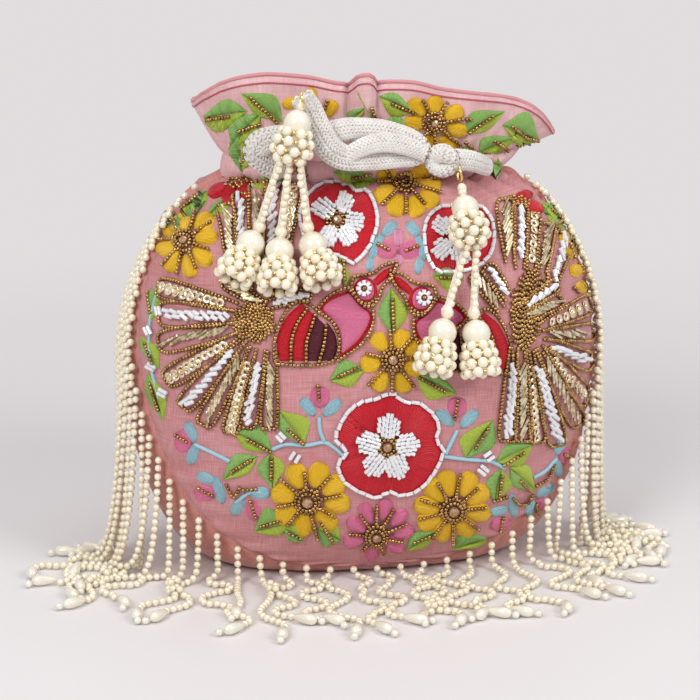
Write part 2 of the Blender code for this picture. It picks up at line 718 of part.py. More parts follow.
def turned(name, profile, place, axis, finish, sides=12, bumps=0.0):
    """Solid turned about an axis: the profile is (distance along, radius) from end to end."""
    axis = Vector(axis).normalized()
    side = axis.cross(Vector((0, 1, 0)))
    if side.length < 0.1:
        side = axis.cross(Vector((1, 0, 0)))
    side.normalize()
    other = axis.cross(side)
    place = Vector(place)
    points = [place + axis * profile[0][0]]
    rows = profile[1:-1]
    for r, (along, radius) in enumerate(rows):
        for k in range(sides):
            turn = k * math.tau / sides
            swell = 1 + bumps * (1 if (k + r) % 2 else -1) * min(1, radius / 0.006)
            points.append(place + axis * along
                          + radius * swell * (math.cos(turn) * side + math.sin(turn) * other))
    points.append(place + axis * profile[-1][0])
    faces, last = [], len(points) - 1
    for k in range(sides):
        j = (k + 1) % sides
        faces.append((0, 1 + j, 1 + k))
        for r in range(len(rows) - 1):
            a, b = 1 + r * sides, 1 + (r + 1) * sides
            faces.append((a + k, a + j, b + j, b + k))
        end = 1 + (len(rows) - 1) * sides
        faces.append((last, end + k, end + j))
    return add_object(name, points, faces, finish, origin=place)


def ball(name, radius, place, axis, finish="pearl", rows=5, sides=10):
    profile = [(-radius, 0)]
    for r in range(1, rows):
        turn = math.pi * r / rows
        profile.append((-radius * math.cos(turn), radius * math.sin(turn)))
    profile.append((radius, 0))
    return turned(name, profile, place, axis, finish, sides)


def ring_of_wire(name, place):
    """Split ring round the hinge axis, which runs left to right through its middle."""
    rings = []
    for i in range(12):
        turn = i * math.tau / 12
        out = Vector((0, math.cos(turn), math.sin(turn)))
        middle = Vector(place) + RING_RADIUS * out
        ring = []
        for k in range(6):
            roll = k * math.tau / 6
            ring.append(middle + RING_WIRE * (math.cos(roll) * out + math.sin(roll) * Vector((1, 0, 0))))
        rings.append(ring)
    points, faces = tube_of_rings(rings, closed=True)
    return add_object(name, points, [tuple(reversed(f)) for f in faces], "gold", origin=place)


def cup_profile(pearl, radius, height, waist):
    """Beaded bell whose top is hollowed to hold a pearl; returns it and the pearl's standoff."""
    dish = 0.60 * pearl
    hollow, lip = dish - CLEARANCE, 0.94 * pearl
    standoff = pearl - dish
    middle = 0.64 * pearl
    at_middle = math.sqrt(pearl**2 - middle**2) - standoff
    profile = [
        (dish + 2 * CLEARANCE, 0), (at_middle + 3 * CLEARANCE, middle), (0.0, lip),
        (0.28 * height, waist * radius), (0.55 * height, radius), (0.82 * height, radius),
        (height, 0.78 * radius), (height - 0.6 * hollow, 0),
    ]
    return profile, standoff


def resting_point(x, z, radius):
    """Middle of a ball that lies on the embroidered panel over the skin point at x, z."""
    proud = TAIL_LIFT + MOTIF_THICKNESS + MOTIF_DOME
    return panel_point(x, z, 0, 0, proud + 2 * CLEARANCE + radius)


TASSELS = {
    "left": {
        "ring": (-0.0305, -0.0495, 0.1938), "hang": (-0.22, -0.12, -0.97), "link": 0.0,
        "drops": [((-0.0445, 0.1415), (-0.0538, 0.1240)), ((-0.0372, 0.1400), (-0.0398, 0.1200)),
                  ((-0.0275, 0.1415), (-0.0240, 0.1235))],
    },
    "right": {
        "ring": (0.0310, -0.0450, 0.1632), "hang": (0.07, -0.42, -0.89), "link": LINK_PEARL,
        "drops": [((0.0222, 0.1120), (0.0165, 0.0940)), ((0.0325, 0.1110), (0.0332, 0.0920))],
    },
}


def make_tassel(side, plan):
    """Pearls hung in line under the ring, then the strings with their pearls and bells."""
    hinge = bpy.data.objects.new(f"tassel_{side}_hinge", None)
    hinge.location = plan["ring"]
    bpy.context.scene.collection.objects.link(hinge)
    pieces = [ring_of_wire(f"tassel_{side}_ring", plan["ring"])]
    hang = Vector(plan["hang"]).normalized()
    reach = RING_RADIUS + RING_WIRE + CLEARANCE
    ring = Vector(plan["ring"])
    if plan["link"]:
        place = ring + hang * (reach + plan["link"])
        pieces.append(ball(f"tassel_{side}_link_pearl", plan["link"], place, hang, rows=4, sides=8))
        reach += 2 * plan["link"] + CLEARANCE
    cap = ring + hang * (reach + CAP_PEARL)
    pieces.append(ball(f"tassel_{side}_cap_pearl", CAP_PEARL, cap, hang))
    profile, standoff = cup_profile(CAP_PEARL, CLUSTER_RADIUS, CLUSTER_HEIGHT, 0.88)
    top = cap + hang * standoff
    pieces.append(turned(f"tassel_{side}_cluster", profile, top, hang, "pearl", 16, 0.06))
    foot = top + hang * (CLUSTER_HEIGHT + CLEARANCE)
    for i, (collar_at, bell_at) in enumerate(plan["drops"], 1):
        pieces += make_drop(side, i, len(plan["drops"]), foot, collar_at, bell_at)
    for piece in pieces:
        piece.parent = hinge
        piece.location -= hinge.location


def make_drop(side, number, count, foot, collar_at, bell_at):
    collar = resting_point(*collar_at, COLLAR_LIFT)
    bell_middle = resting_point(*bell_at, BELL_RADIUS)
    along = (bell_middle - collar).normalized()
    spread = (number - (count + 1) / 2) * (2 * STRING_RADIUS + 4 * CLEARANCE)
    start = foot + Vector((spread, 0, -STRING_RADIUS * 0.6))
    line = (collar - start).normalized()
    length = (collar - start).length
    string = [(0, 0), (0, STRING_RADIUS * 0.8), (0.5 * length, STRING_RADIUS),
              (length - COLLAR_PEARL * 0.9, STRING_RADIUS), (length, COLLAR_PEARL),
              (length + COLLAR_PEARL * 0.7, COLLAR_PEARL * 0.7), (length + COLLAR_PEARL, 0)]
    name = f"tassel_{side}_drop{number}"
    pearl = collar + along * (COLLAR_PEARL + 2 * CLEARANCE + BIG_PEARL)
    profile, standoff = cup_profile(BIG_PEARL, BELL_RADIUS, BELL_HEIGHT, 0.84)
    return [
        turned(f"{name}_string", string, start, line, "pearl", 6),
        ball(f"{name}_pearl", BIG_PEARL, pearl, along),
        turned(f"{name}_bell", profile, pearl + along * standoff, along, "pearl", 16, 0.06),
    ]


def main():
    for old in list(bpy.data.objects):
        bpy.data.objects.remove(old, do_unlink=True)
    make_panel("front_panel", -1)
    make_panel("back_panel", 1)
    make_gusset()
    make_card()
    make_lining()
    make_channel()
    make_ruffle()
    make_hem()
    make_embroidery()
    make_fringe()
    make_cord("drawstring_long_end", LONG_ROUTE)
    make_cord("drawstring_short_end", SHORT_ROUTE)
    ball("drawstring_knot", KNOT_RADIUS, KNOT_PLACE, (0, 0, 1), "cotton_cord", rows=6, sides=12)
    for side, plan in TASSELS.items():
        make_tassel(side, plan)


main()
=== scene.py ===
# %% [markdown]
# # A potli bag, dressed
# This file takes the bag's solids and gives them their looks: slub silk, satin stitch, gold
# seed beads, white bugles, strung pearls and a knitted cord. Each step first says what the piece is
# on the real bag and how it could be made, and then makes it.

# %% Load the frame
import math
import random

import bpy
import numpy as np
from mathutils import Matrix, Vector, noise
from mathutils.bvhtree import BVHTree


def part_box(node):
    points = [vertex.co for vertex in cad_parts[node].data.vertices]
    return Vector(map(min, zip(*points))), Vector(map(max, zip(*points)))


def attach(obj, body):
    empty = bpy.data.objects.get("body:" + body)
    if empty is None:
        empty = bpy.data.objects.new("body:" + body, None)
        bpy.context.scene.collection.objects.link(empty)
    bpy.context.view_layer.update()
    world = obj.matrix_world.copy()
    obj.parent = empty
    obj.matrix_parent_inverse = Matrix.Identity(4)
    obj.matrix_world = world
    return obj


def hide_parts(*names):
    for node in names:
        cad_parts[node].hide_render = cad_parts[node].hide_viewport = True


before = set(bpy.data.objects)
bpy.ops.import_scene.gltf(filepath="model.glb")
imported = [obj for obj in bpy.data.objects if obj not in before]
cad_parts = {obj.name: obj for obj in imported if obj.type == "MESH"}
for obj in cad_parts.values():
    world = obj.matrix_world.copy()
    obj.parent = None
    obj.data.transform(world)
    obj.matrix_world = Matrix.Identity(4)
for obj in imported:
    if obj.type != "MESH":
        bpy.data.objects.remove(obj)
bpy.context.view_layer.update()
MM = 0.001
DICE = random.Random(11)

# %% [markdown]
# ## The camera
# Everything on the front is placed as it is seen, so the camera comes first. Its angle, distance and
# lens were fitted to the photograph. A long lens keeps the bag's proportions calm. A point of the
# photograph can then be turned into a ray, and where that ray meets the cloth is where a bead is sewn.

# %% Camera
PICTURE_SIDE = 700
AIM = Vector((-0.0040, 0.0, 0.0830))
AZIMUTH, ELEVATION, DISTANCE = math.radians(-9.5), math.radians(15), 0.95
LENS_MM, SENSOR_MM = 120, 36
FOCAL = PICTURE_SIDE * LENS_MM / SENSOR_MM


def make_camera():
    data = bpy.data.cameras.new("camera")
    data.lens, data.sensor_width = LENS_MM, SENSOR_MM
    camera = bpy.data.objects.new("camera", data)
    bpy.context.scene.collection.objects.link(camera)
    flat = math.cos(ELEVATION)
    away = Vector((math.sin(AZIMUTH) * flat, -math.cos(AZIMUTH) * flat, math.sin(ELEVATION)))
    camera.location = AIM + DISTANCE * away
    camera.rotation_euler = (-away).to_track_quat("-Z", "Y").to_euler()
    bpy.context.scene.camera = camera
    bpy.context.view_layer.update()
    return camera


camera = make_camera()
EYE = camera.location.copy()
TURN = camera.matrix_world.to_quaternion()


def ray_to(x, y):
    """Direction from the camera through a point of the picture."""
    half = PICTURE_SIDE / 2
    return (TURN @ Vector((x - half, half - y, -FOCAL))).normalized()


print("The camera stands at", [round(v, 3) for v in EYE])

# %% [markdown]
# ## Helpers for meshes
# A seed bead is tiny, and the bag carries thousands. Making an object for each would be slow, so a
# heap gathers the points and faces of many small copies, and turns them into one mesh at the end.
# Each copy of a template is turned and scaled with one matrix product.

# %% Heaps of small parts
class Heap:
    """Points, faces and cloth coordinates gathered for one mesh."""

    def __init__(self):
        self.points, self.faces, self.threads, self.count = [], [], [], 0

    def add(self, points, faces, threads=None):
        points = np.asarray(points, float)
        self.points.append(points)
        self.faces += [tuple(i + self.count for i in face) for face in faces]
        self.threads.append(np.zeros((len(points), 2)) if threads is None else np.asarray(threads))
        self.count += len(points)

    def make(self, name, material, body="bag", slot=None, replaces=(), smooth=True):
        mesh = bpy.data.meshes.new(name)
        mesh.from_pydata(np.concatenate(self.points).tolist(), [], self.faces)
        mesh.materials.append(material)
        layer = mesh.uv_layers.new(name="threads")
        corners = np.empty(len(mesh.loops), np.int32)
        mesh.loops.foreach_get("vertex_index", corners)
        layer.data.foreach_set("uv", np.concatenate(self.threads)[corners].ravel())
        mesh.polygons.foreach_set("use_smooth", [smooth] * len(mesh.polygons))
        mesh.validate()
        piece = bpy.data.objects.new(name, mesh)
        bpy.context.scene.collection.objects.link(piece)
        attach(piece, body)
        if replaces:
            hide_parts(*replaces)
        tris = sum(len(p.vertices) - 2 for p in mesh.polygons)
        print(f"{name}: {tris} triangles")
        return piece


def ring_faces(rows, sides):
    """Faces between rings of points that each close on themselves, then a cap for each end."""
    faces = []
    for r in range(rows - 1):
        for k in range(sides):
            a, b = r * sides + k, r * sides + (k + 1) % sides
            faces.append((a, b, b + sides, a + sides))
    last = (rows - 1) * sides
    return faces + [tuple(reversed(range(sides))), tuple(range(last, last + sides))]


def turned_template(profile, sides):
    """Points and faces of a small solid turned about z, from (height, radius) pairs."""
    points = []
    for height, radius in profile:
        for k in range(sides):
            turn = k * math.tau / sides
            points.append((radius * math.cos(turn), radius * math.sin(turn), height))
    return np.array(points), ring_faces(len(profile), sides)


def ball_template(rings, sides):
    """A unit ball with a small flat at each pole."""
    turns = [math.pi * (r + 0.35) / (rings + 0.7) for r in range(rings + 1)]
    return turned_template([(-math.cos(t), math.sin(t)) for t in turns], sides)


def place_copy(heap, template, middle, along, size, up=(0, 0, 1)):
    """Adds a copy whose z axis lies along a direction; size is one number or three."""
    points, faces = template
    along = Vector(along).normalized()
    side = along.cross(Vector(up))
    if side.length < 1e-4:
        side = along.cross(Vector((1, 0, 0)))
    side.normalize()
    across = side.cross(along)
    matrix = np.array([side, across, along])
    heap.add((points * np.asarray(size)) @ matrix + np.asarray(middle), faces)


def smooth_curve(points, closed=False, steps=8):
    """Catmull-Rom curve through given points of the picture or of space."""
    points = [np.asarray(p, float) for p in points]
    if closed:
        ends = [points[-1]] + points + points[:2]
    else:
        ends = [2 * points[0] - points[1]] + points + [2 * points[-1] - points[-2]]
    fine = []
    for a, b, c, d in zip(ends, ends[1:], ends[2:], ends[3:]):
        for k in range(steps):
            t = k / steps
            fine.append(0.5 * (2 * b + (c - a) * t + (2 * a - 5 * b + 4 * c - d) * t * t
                               + (3 * b - a - 3 * c + d) * t**3))
    if not closed:
        fine.append(points[-1])
    return np.array(fine)


def spaced(line, pitch=None, count=None):
    """Points at even steps along a line."""
    steps = np.linalg.norm(np.diff(line[:, :3], axis=0), axis=1)
    lengths = np.concatenate(([0], np.cumsum(steps)))
    if count is None:
        count = max(2, round(lengths[-1] / pitch) + 1)
    wanted = np.linspace(0, lengths[-1], count)
    return np.stack([np.interp(wanted, lengths, line[:, k]) for k in range(line.shape[1])], axis=1)


print("Helpers are ready")

# %% [markdown]
# ## Shader groups
# Three effects are used by several materials, so each is a node group built once. Slub weave gives
# the uneven threads of hand-woven silk, satin thread gives the fine parallel stitches of floss, and
# lustre gives the faint change of tint from one pearl or bead to the next.

# %% Build the shader groups
def new_group(name, inputs, outputs):
    group = bpy.data.node_groups.new(name, "ShaderNodeTree")
    for label, kind, value in inputs:
        socket = group.interface.new_socket(label, in_out="INPUT", socket_type=kind)
        if value is not None:
            socket.default_value = value
    for label, kind in outputs:
        group.interface.new_socket(label, in_out="OUTPUT", socket_type=kind)
    start = group.nodes.new("NodeGroupInput")
    end = group.nodes.new("NodeGroupOutput")
    return group, start, end


def add_node(tree, kind, inputs=None, **settings):
    node = tree.nodes.new(kind)
    for key, value in settings.items():
        setattr(node, key, value)
    for key, value in (inputs or {}).items():
        if isinstance(value, bpy.types.NodeSocket):
            tree.links.new(value, node.inputs[key])
        else:
            node.inputs[key].default_value = value
    return node


def stretched_noise(tree, vector, stretch, scale=1.0, detail=2.0):
    mapping = add_node(tree, "ShaderNodeMapping", {"Vector": vector, "Scale": stretch})
    return add_node(tree, "ShaderNodeTexNoise",
                    {"Vector": mapping.outputs[0], "Scale": scale, "Detail": detail})


def mixed_colour(tree, share, first, second):
    node = add_node(tree, "ShaderNodeMix", {0: share, 6: first, 7: second}, data_type="RGBA")
    return node.outputs[2]


def number(tree, operation, first, second=0.0, third=0.0, clamp=False):
    node = add_node(tree, "ShaderNodeMath", {0: first, 1: second, 2: third},
                    operation=operation, use_clamp=clamp)
    return node.outputs[0]


def relief(tree, shader, height, strength, depth):
    """Bumps the surface by a height that varies over it."""
    bump = add_node(tree, "ShaderNodeBump", {"Strength": strength, "Distance": depth, "Height": height})
    tree.links.new(bump.outputs[0], shader.inputs["Normal"])


def build_slub_weave():
    """Cloth coordinates are in millimetres: x across the cloth, y up it."""
    group, start, end = new_group(
        "slub_weave",
        [("Cloth", "NodeSocketVector", None), ("Thread", "NodeSocketColor", (0.7, 0.35, 0.36, 1)),
         ("Slub", "NodeSocketColor", (0.85, 0.6, 0.6, 1)),
         ("Worn", "NodeSocketColor", (0.6, 0.2, 0.2, 1)),
         ("Contrast", "NodeSocketFloat", 0.5)],
        [("Color", "NodeSocketColor"), ("Height", "NodeSocketFloat"), ("Roughness", "NodeSocketFloat")],
    )
    cloth = start.outputs["Cloth"]
    weft = stretched_noise(group, cloth, (0.10, 1.9, 1.0), detail=3.0)
    warp = stretched_noise(group, cloth, (2.1, 0.12, 1.0), detail=3.0)
    blotch = stretched_noise(group, cloth, (0.05, 0.06, 1.0))
    both = number(group, "ADD", weft.outputs[0], warp.outputs[0])
    streak = number(group, "MULTIPLY_ADD", both, 2.6, -2.1)
    share = number(group, "MULTIPLY", streak, start.outputs["Contrast"], clamp=True)
    tinted = mixed_colour(group, share, start.outputs["Thread"], start.outputs["Slub"])
    patch = number(group, "MULTIPLY_ADD", blotch.outputs[0], 2.4, -0.95, clamp=True)
    patch = number(group, "MULTIPLY", patch, 0.45)
    group.links.new(mixed_colour(group, patch, tinted, start.outputs["Worn"]), end.inputs["Color"])
    threads = {"Vector": cloth, "Scale": 0.75, "Distortion": 0.6}
    across = add_node(group, "ShaderNodeTexWave", threads, bands_direction="X")
    up = add_node(group, "ShaderNodeTexWave", threads, bands_direction="Y")
    fine = number(group, "MULTIPLY", across.outputs["Fac"], up.outputs["Fac"])
    height = number(group, "ADD", number(group, "MULTIPLY", fine, 0.35), both)
    group.links.new(height, end.inputs["Height"])
    rough = number(group, "MULTIPLY_ADD", share, -0.12, 0.78)
    group.links.new(rough, end.inputs["Roughness"])
    return group


def build_satin_thread():
    """Stitch coordinates are in millimetres: x counts threads, y runs along them."""
    group, start, end = new_group(
        "satin_thread",
        [("Stitch", "NodeSocketVector", None), ("Floss", "NodeSocketColor", (0.5, 0.1, 0.1, 1)),
         ("Shadow", "NodeSocketColor", (0.2, 0.02, 0.02, 1)), ("Pitch", "NodeSocketFloat", 0.55)],
        [("Color", "NodeSocketColor"), ("Height", "NodeSocketFloat")],
    )
    parts = add_node(group, "ShaderNodeSeparateXYZ", {0: start.outputs["Stitch"]})
    wobble = stretched_noise(group, start.outputs["Stitch"], (0.9, 0.25, 1.0))
    shifted = number(group, "ADD", parts.outputs[0], number(group, "MULTIPLY", wobble.outputs[0], 0.5))
    turns = number(group, "MULTIPLY", number(group, "DIVIDE", shifted, start.outputs["Pitch"]), math.tau)
    ridge = number(group, "MULTIPLY_ADD", number(group, "SINE", turns), 0.5, 0.5)
    strand = stretched_noise(group, start.outputs["Stitch"], (2.4, 0.12, 1.0), detail=3.0)
    uneven = number(group, "MULTIPLY_ADD", strand.outputs[0], 1.8, -0.60, clamp=True)
    dark = number(group, "MULTIPLY", number(group, "SUBTRACT", 1.0, ridge), 0.50)
    dark = number(group, "ADD", dark, number(group, "MULTIPLY", uneven, 0.55), clamp=True)
    tinted = mixed_colour(group, dark, start.outputs["Floss"], start.outputs["Shadow"])
    group.links.new(tinted, end.inputs["Color"])
    height = number(group, "ADD", ridge, number(group, "MULTIPLY", strand.outputs[0], 0.7))
    group.links.new(height, end.inputs["Height"])
    return group


def build_lustre():
    """A slow change of tint that differs from bead to bead."""
    group, start, end = new_group(
        "lustre",
        [("Size", "NodeSocketFloat", 250.0), ("Light", "NodeSocketColor", (1, 1, 1, 1)),
         ("Deep", "NodeSocketColor", (0.5, 0.5, 0.5, 1)), ("Share", "NodeSocketFloat", 0.5)],
        [("Color", "NodeSocketColor"), ("Roughness", "NodeSocketFloat")],
    )
    place = add_node(group, "ShaderNodeTexCoord").outputs["Object"]
    spots = add_node(group, "ShaderNodeTexNoise",
                     {"Vector": place, "Scale": start.outputs["Size"], "Detail": 1.0})
    tint = number(group, "MULTIPLY_ADD", spots.outputs[0], 3.0, -1.0, clamp=True)
    share = number(group, "MULTIPLY", tint, start.outputs["Share"])
    tinted = mixed_colour(group, share, start.outputs["Light"], start.outputs["Deep"])
    group.links.new(tinted, end.inputs["Color"])
    rough = number(group, "MULTIPLY_ADD", tint, 0.14, 0.12)
    group.links.new(rough, end.inputs["Roughness"])
    return group


SLUB_WEAVE, SATIN_THREAD, LUSTRE = build_slub_weave(), build_satin_thread(), build_lustre()
print("Shader groups:", [g.name for g in (SLUB_WEAVE, SATIN_THREAD, LUSTRE)])

# %% [markdown]
# ## Materials
# Silk is rough with pale slubs, floss has a soft sheen along its stitches, a pearl is a pale base
# under a clear coat, and the seed beads are antique gold. Each material places a group with its own
# colours, and fixed numbers such as coat or sheen are set on the shader's own sockets.

# %% Materials of cloth and thread
def shader_of(name, settings):
    material = bpy.data.materials.new(name)
    material.use_nodes = True
    shader = material.node_tree.nodes["Principled BSDF"]
    for key, value in settings.items():
        shader.inputs[key].default_value = value
    return material, material.node_tree, shader


def place_group(tree, group, inputs):
    return add_node(tree, "ShaderNodeGroup", inputs, node_tree=group)


def millimetres(tree):
    """Cloth coordinates stored on the mesh."""
    return add_node(tree, "ShaderNodeUVMap", uv_map="threads").outputs[0]


def silk(name, thread, slub, worn, contrast=0.5):
    material, tree, shader = shader_of(name, {"Sheen Weight": 0.25, "Sheen Roughness": 0.4})
    cloth = place_group(tree, SLUB_WEAVE, {
        "Cloth": millimetres(tree), "Thread": (*thread, 1), "Slub": (*slub, 1),
        "Worn": (*worn, 1), "Contrast": contrast})
    relief(tree, shader, cloth.outputs["Height"], 0.25, 0.0003)
    tree.links.new(cloth.outputs["Color"], shader.inputs["Base Color"])
    tree.links.new(cloth.outputs["Roughness"], shader.inputs["Roughness"])
    return material


def floss(name, colour, shadow):
    material, tree, shader = shader_of(
        name, {"Roughness": 0.45, "Sheen Weight": 0.06, "Specular IOR Level": 0.4})
    stitch = place_group(tree, SATIN_THREAD, {
        "Stitch": millimetres(tree), "Floss": (*colour, 1), "Shadow": (*shadow, 1)})
    relief(tree, shader, stitch.outputs["Height"], 0.8, 0.0004)
    tree.links.new(stitch.outputs["Color"], shader.inputs["Base Color"])
    return material


def beadwork(name, light, deep, share, size, settings):
    material, tree, shader = shader_of(name, settings)
    tint = place_group(tree, LUSTRE, {
        "Size": size, "Light": (*light, 1), "Deep": (*deep, 1), "Share": share})
    tree.links.new(tint.outputs["Color"], shader.inputs["Base Color"])
    tree.links.new(tint.outputs["Roughness"], shader.inputs["Roughness"])
    return material


PINK_SILK = silk("pink_silk", (0.56, 0.21, 0.225), (0.72, 0.45, 0.46), (0.42, 0.12, 0.115))
CORAL_SILK = silk("coral_silk", (0.58, 0.22, 0.19), (0.74, 0.42, 0.37), (0.44, 0.13, 0.09))
FRILL_SILK = silk("frill_silk", (0.76, 0.44, 0.455), (0.90, 0.72, 0.71), (0.55, 0.17, 0.20), 0.45)
HEM_SILK = silk("hem_silk", (0.64, 0.25, 0.27), (0.78, 0.46, 0.47), (0.50, 0.12, 0.14), 0.4)
LINING_SATIN = silk("lining_satin", (0.62, 0.30, 0.32), (0.72, 0.42, 0.44), (0.45, 0.18, 0.18), 0.3)

RED_FLOSS = floss("red_floss", (0.72, 0.003, 0.020), (0.48, 0.002, 0.010))
# Rose floss for the frill's hem stitching, dark enough to paint the shadow under the rolled hem too.
ROSE_FLOSS = floss("rose_floss", (0.50, 0.11, 0.14), (0.32, 0.04, 0.06))
MAROON_FLOSS = floss("maroon_floss", (0.13, 0.004, 0.02), (0.05, 0.001, 0.006))
YELLOW_FLOSS = floss("yellow_floss", (1.0, 0.64, 0.02), (0.90, 0.46, 0.008))
GREEN_FLOSS = floss("green_floss", (0.36, 0.62, 0.16), (0.19, 0.43, 0.08))
LIME_FLOSS = floss("lime_floss", (0.54, 0.68, 0.08), (0.34, 0.48, 0.04))
PINK_FLOSS = floss("pink_floss", (0.90, 0.24, 0.42), (0.74, 0.13, 0.28))
LILAC_FLOSS = floss("lilac_floss", (0.88, 0.38, 0.56), (0.74, 0.24, 0.42))
BLUE_FLOSS = floss("blue_floss", (0.40, 0.66, 0.76), (0.24, 0.46, 0.56))

# %% Materials of beads, pearls and metal
PEARL_COAT = {"Coat Weight": 1.0, "Coat IOR": 1.7, "Specular IOR Level": 0.8}
PEARL = beadwork("pearl", (0.94, 0.86, 0.68), (0.90, 0.77, 0.53), 0.6, 240.0,
                 {**PEARL_COAT, "Coat Roughness": 0.07, "Subsurface Weight": 0.12,
                  "Subsurface Radius": (0.0012, 0.0009, 0.0006)})
BIG_PEARL = beadwork("big_pearl", (0.90, 0.85, 0.71), (0.84, 0.75, 0.55), 0.5, 60.0,
                     {**PEARL_COAT, "Coat Roughness": 0.05, "Subsurface Weight": 0.15,
                      "Subsurface Radius": (0.002, 0.0015, 0.001)})
DROP_PEARL = beadwork("drop_pearl", (0.88, 0.84, 0.74), (0.80, 0.74, 0.58), 0.5, 120.0,
                      {"Coat Weight": 0.9, "Coat Roughness": 0.04, "Specular IOR Level": 0.6,
                       "Subsurface Weight": 0.2, "Subsurface Radius": (0.002, 0.0016, 0.001)})
GOLD_BEAD = beadwork("gold_bead", (0.52, 0.32, 0.115), (0.19, 0.085, 0.022), 0.85, 420.0,
                     {"Metallic": 0.92, "Coat Weight": 0.3, "Coat Roughness": 0.1})
WHITE_BEAD = beadwork("white_bead", (0.86, 0.86, 0.88), (0.72, 0.73, 0.78), 0.6, 300.0,
                      {"Coat Weight": 0.6, "Coat Roughness": 0.08, "Specular IOR Level": 0.6})
GOLD_BUGLE = beadwork("gold_bugle", (0.88, 0.78, 0.54), (0.26, 0.17, 0.07), 0.8, 500.0,
                      {"Metallic": 0.9, "Coat Weight": 0.4, "Coat Roughness": 0.05})
SEQUIN = beadwork("sequin", (0.95, 0.84, 0.60), (0.66, 0.42, 0.18), 0.6, 200.0,
                  {"Metallic": 0.75, "Coat Weight": 0.6, "Coat Roughness": 0.05})
GOLD_WIRE = beadwork("gold_wire", (0.86, 0.64, 0.28), (0.60, 0.38, 0.12), 0.5, 300.0, {"Metallic": 1.0})
TOPAZ = beadwork("topaz", (0.32, 0.16, 0.07), (0.62, 0.38, 0.22), 0.9, 900.0,
                 {"Coat Weight": 1.0, "Coat Roughness": 0.02, "Metallic": 0.5})
BOARD = beadwork("board", (0.55, 0.45, 0.33), (0.45, 0.35, 0.24), 0.6, 90.0, {"Specular IOR Level": 0.2})


def make_cotton():
    """Bleached cotton yarn: fine fibres run along each stitch."""
    material, tree, shader = shader_of("cotton", {"Roughness": 0.9, "Sheen Weight": 0.35})
    place = add_node(tree, "ShaderNodeTexCoord").outputs["Object"]
    fibres = stretched_noise(tree, place, (1.0, 1.0, 0.35), 2600.0, 4.0)
    tint = place_group(tree, LUSTRE, {"Size": 160.0, "Light": (0.82, 0.79, 0.76, 1),
                                      "Deep": (0.66, 0.61, 0.56, 1), "Share": 0.5})
    relief(tree, shader, fibres.outputs[0], 0.5, 0.0002)
    tree.links.new(tint.outputs["Color"], shader.inputs["Base Color"])
    return material


COTTON = make_cotton()
print(len(bpy.data.materials), "materials")

# %% [markdown]
# ## The drawstring
# The cord is a knitted cotton tube tied in a bow, and its left end carries a tassel. A plain tube
# would look like rope-coloured plastic, so small rounded legs are laid round a core in pairs that
# make the V of each knitted stitch. The route is the one that the solid cord follows.

# %% Route and frames of the cord
CORD_WIDTH = 0.0065
LONG_ROUTE = [
    (-0.036, -0.0245, 0.1622), (-0.0380, -0.0305, 0.1650), (-0.0425, -0.0345, 0.1680),
    (-0.0462, -0.0362, 0.1722), (-0.0440, -0.0375, 0.1762), (-0.038, -0.0375, 0.1775),
    (-0.029, -0.0370, 0.1775), (-0.020, -0.0362, 0.1785), (-0.010, -0.0362, 0.1800),
    (0.002, -0.0366, 0.1792), (0.011, -0.0366, 0.1765), (0.0172, -0.0368, 0.1722),
    (0.0145, -0.0380, 0.1692), (0.006, -0.0388, 0.1690), (-0.005, -0.0395, 0.1690),
    (-0.013, -0.0410, 0.1700), (-0.019, -0.0432, 0.1740), (-0.023, -0.0436, 0.1808),
    (-0.0262, -0.0432, 0.188), (-0.0284, -0.0433, 0.1920), (-0.0293, -0.0440, 0.1935),
]
SHORT_ROUTE = [
    (0.0470, -0.0222, 0.1612), (0.0445, -0.0265, 0.1625), (0.041, -0.0305, 0.1645),
    (0.0365, -0.0342, 0.1662), (0.0318, -0.0368, 0.1672),
]
FOLD_ROUTE = [(0.0175, -0.0405, 0.1705), (0.0120, -0.0420, 0.1735), (0.0040, -0.0425, 0.1755),
              (-0.0030, -0.0425, 0.1750), (-0.0085, -0.0425, 0.1730), (-0.0130, -0.0415, 0.1700)]
TOWARD_EYE = Vector((-0.16, -0.95, 0.25))
WALES, STITCH_ROW = 9, 0.00145
CORE_SHARE, LEG_SHARE = 0.84, 0.90
LEG_SIZE, LEG_LEAN = (0.00066, 0.00056, 0.00140), 0.60
BAND_WIDE, BAND_THICK = 1.42, 0.82
LEG = ball_template(3, 5)


def frames_along(line, face=None):
    """Tangent and two side directions at each point; the second side keeps to face where given."""
    tangents = [Vector(t).normalized() for t in np.gradient(line, axis=0)]
    side = tangents[0].orthogonal().normalized()
    found = []
    for tangent in tangents:
        if face is not None:
            side = tangent.cross(face - tangent * face.dot(tangent))
        side = (side - tangent * side.dot(tangent)).normalized()
        found.append((tangent, side, side.cross(tangent) if face is not None else tangent.cross(side)))
    return found


def add_tube(heap, line, radii, sides=12, face=None, wide=1.0, thick=1.0):
    """A capped tube whose radius may change along the line, flattened against face where given."""
    points = []
    for place, radius, (_, side, up) in zip(line, radii, frames_along(line, face)):
        for k in range(sides):
            turn = k * math.tau / sides * (1 if face is None else -1)
            out = wide * math.cos(turn) * side + thick * math.sin(turn) * up
            points.append(tuple(Vector(place) + radius * out))
    heap.add(points, ring_faces(len(line), sides))


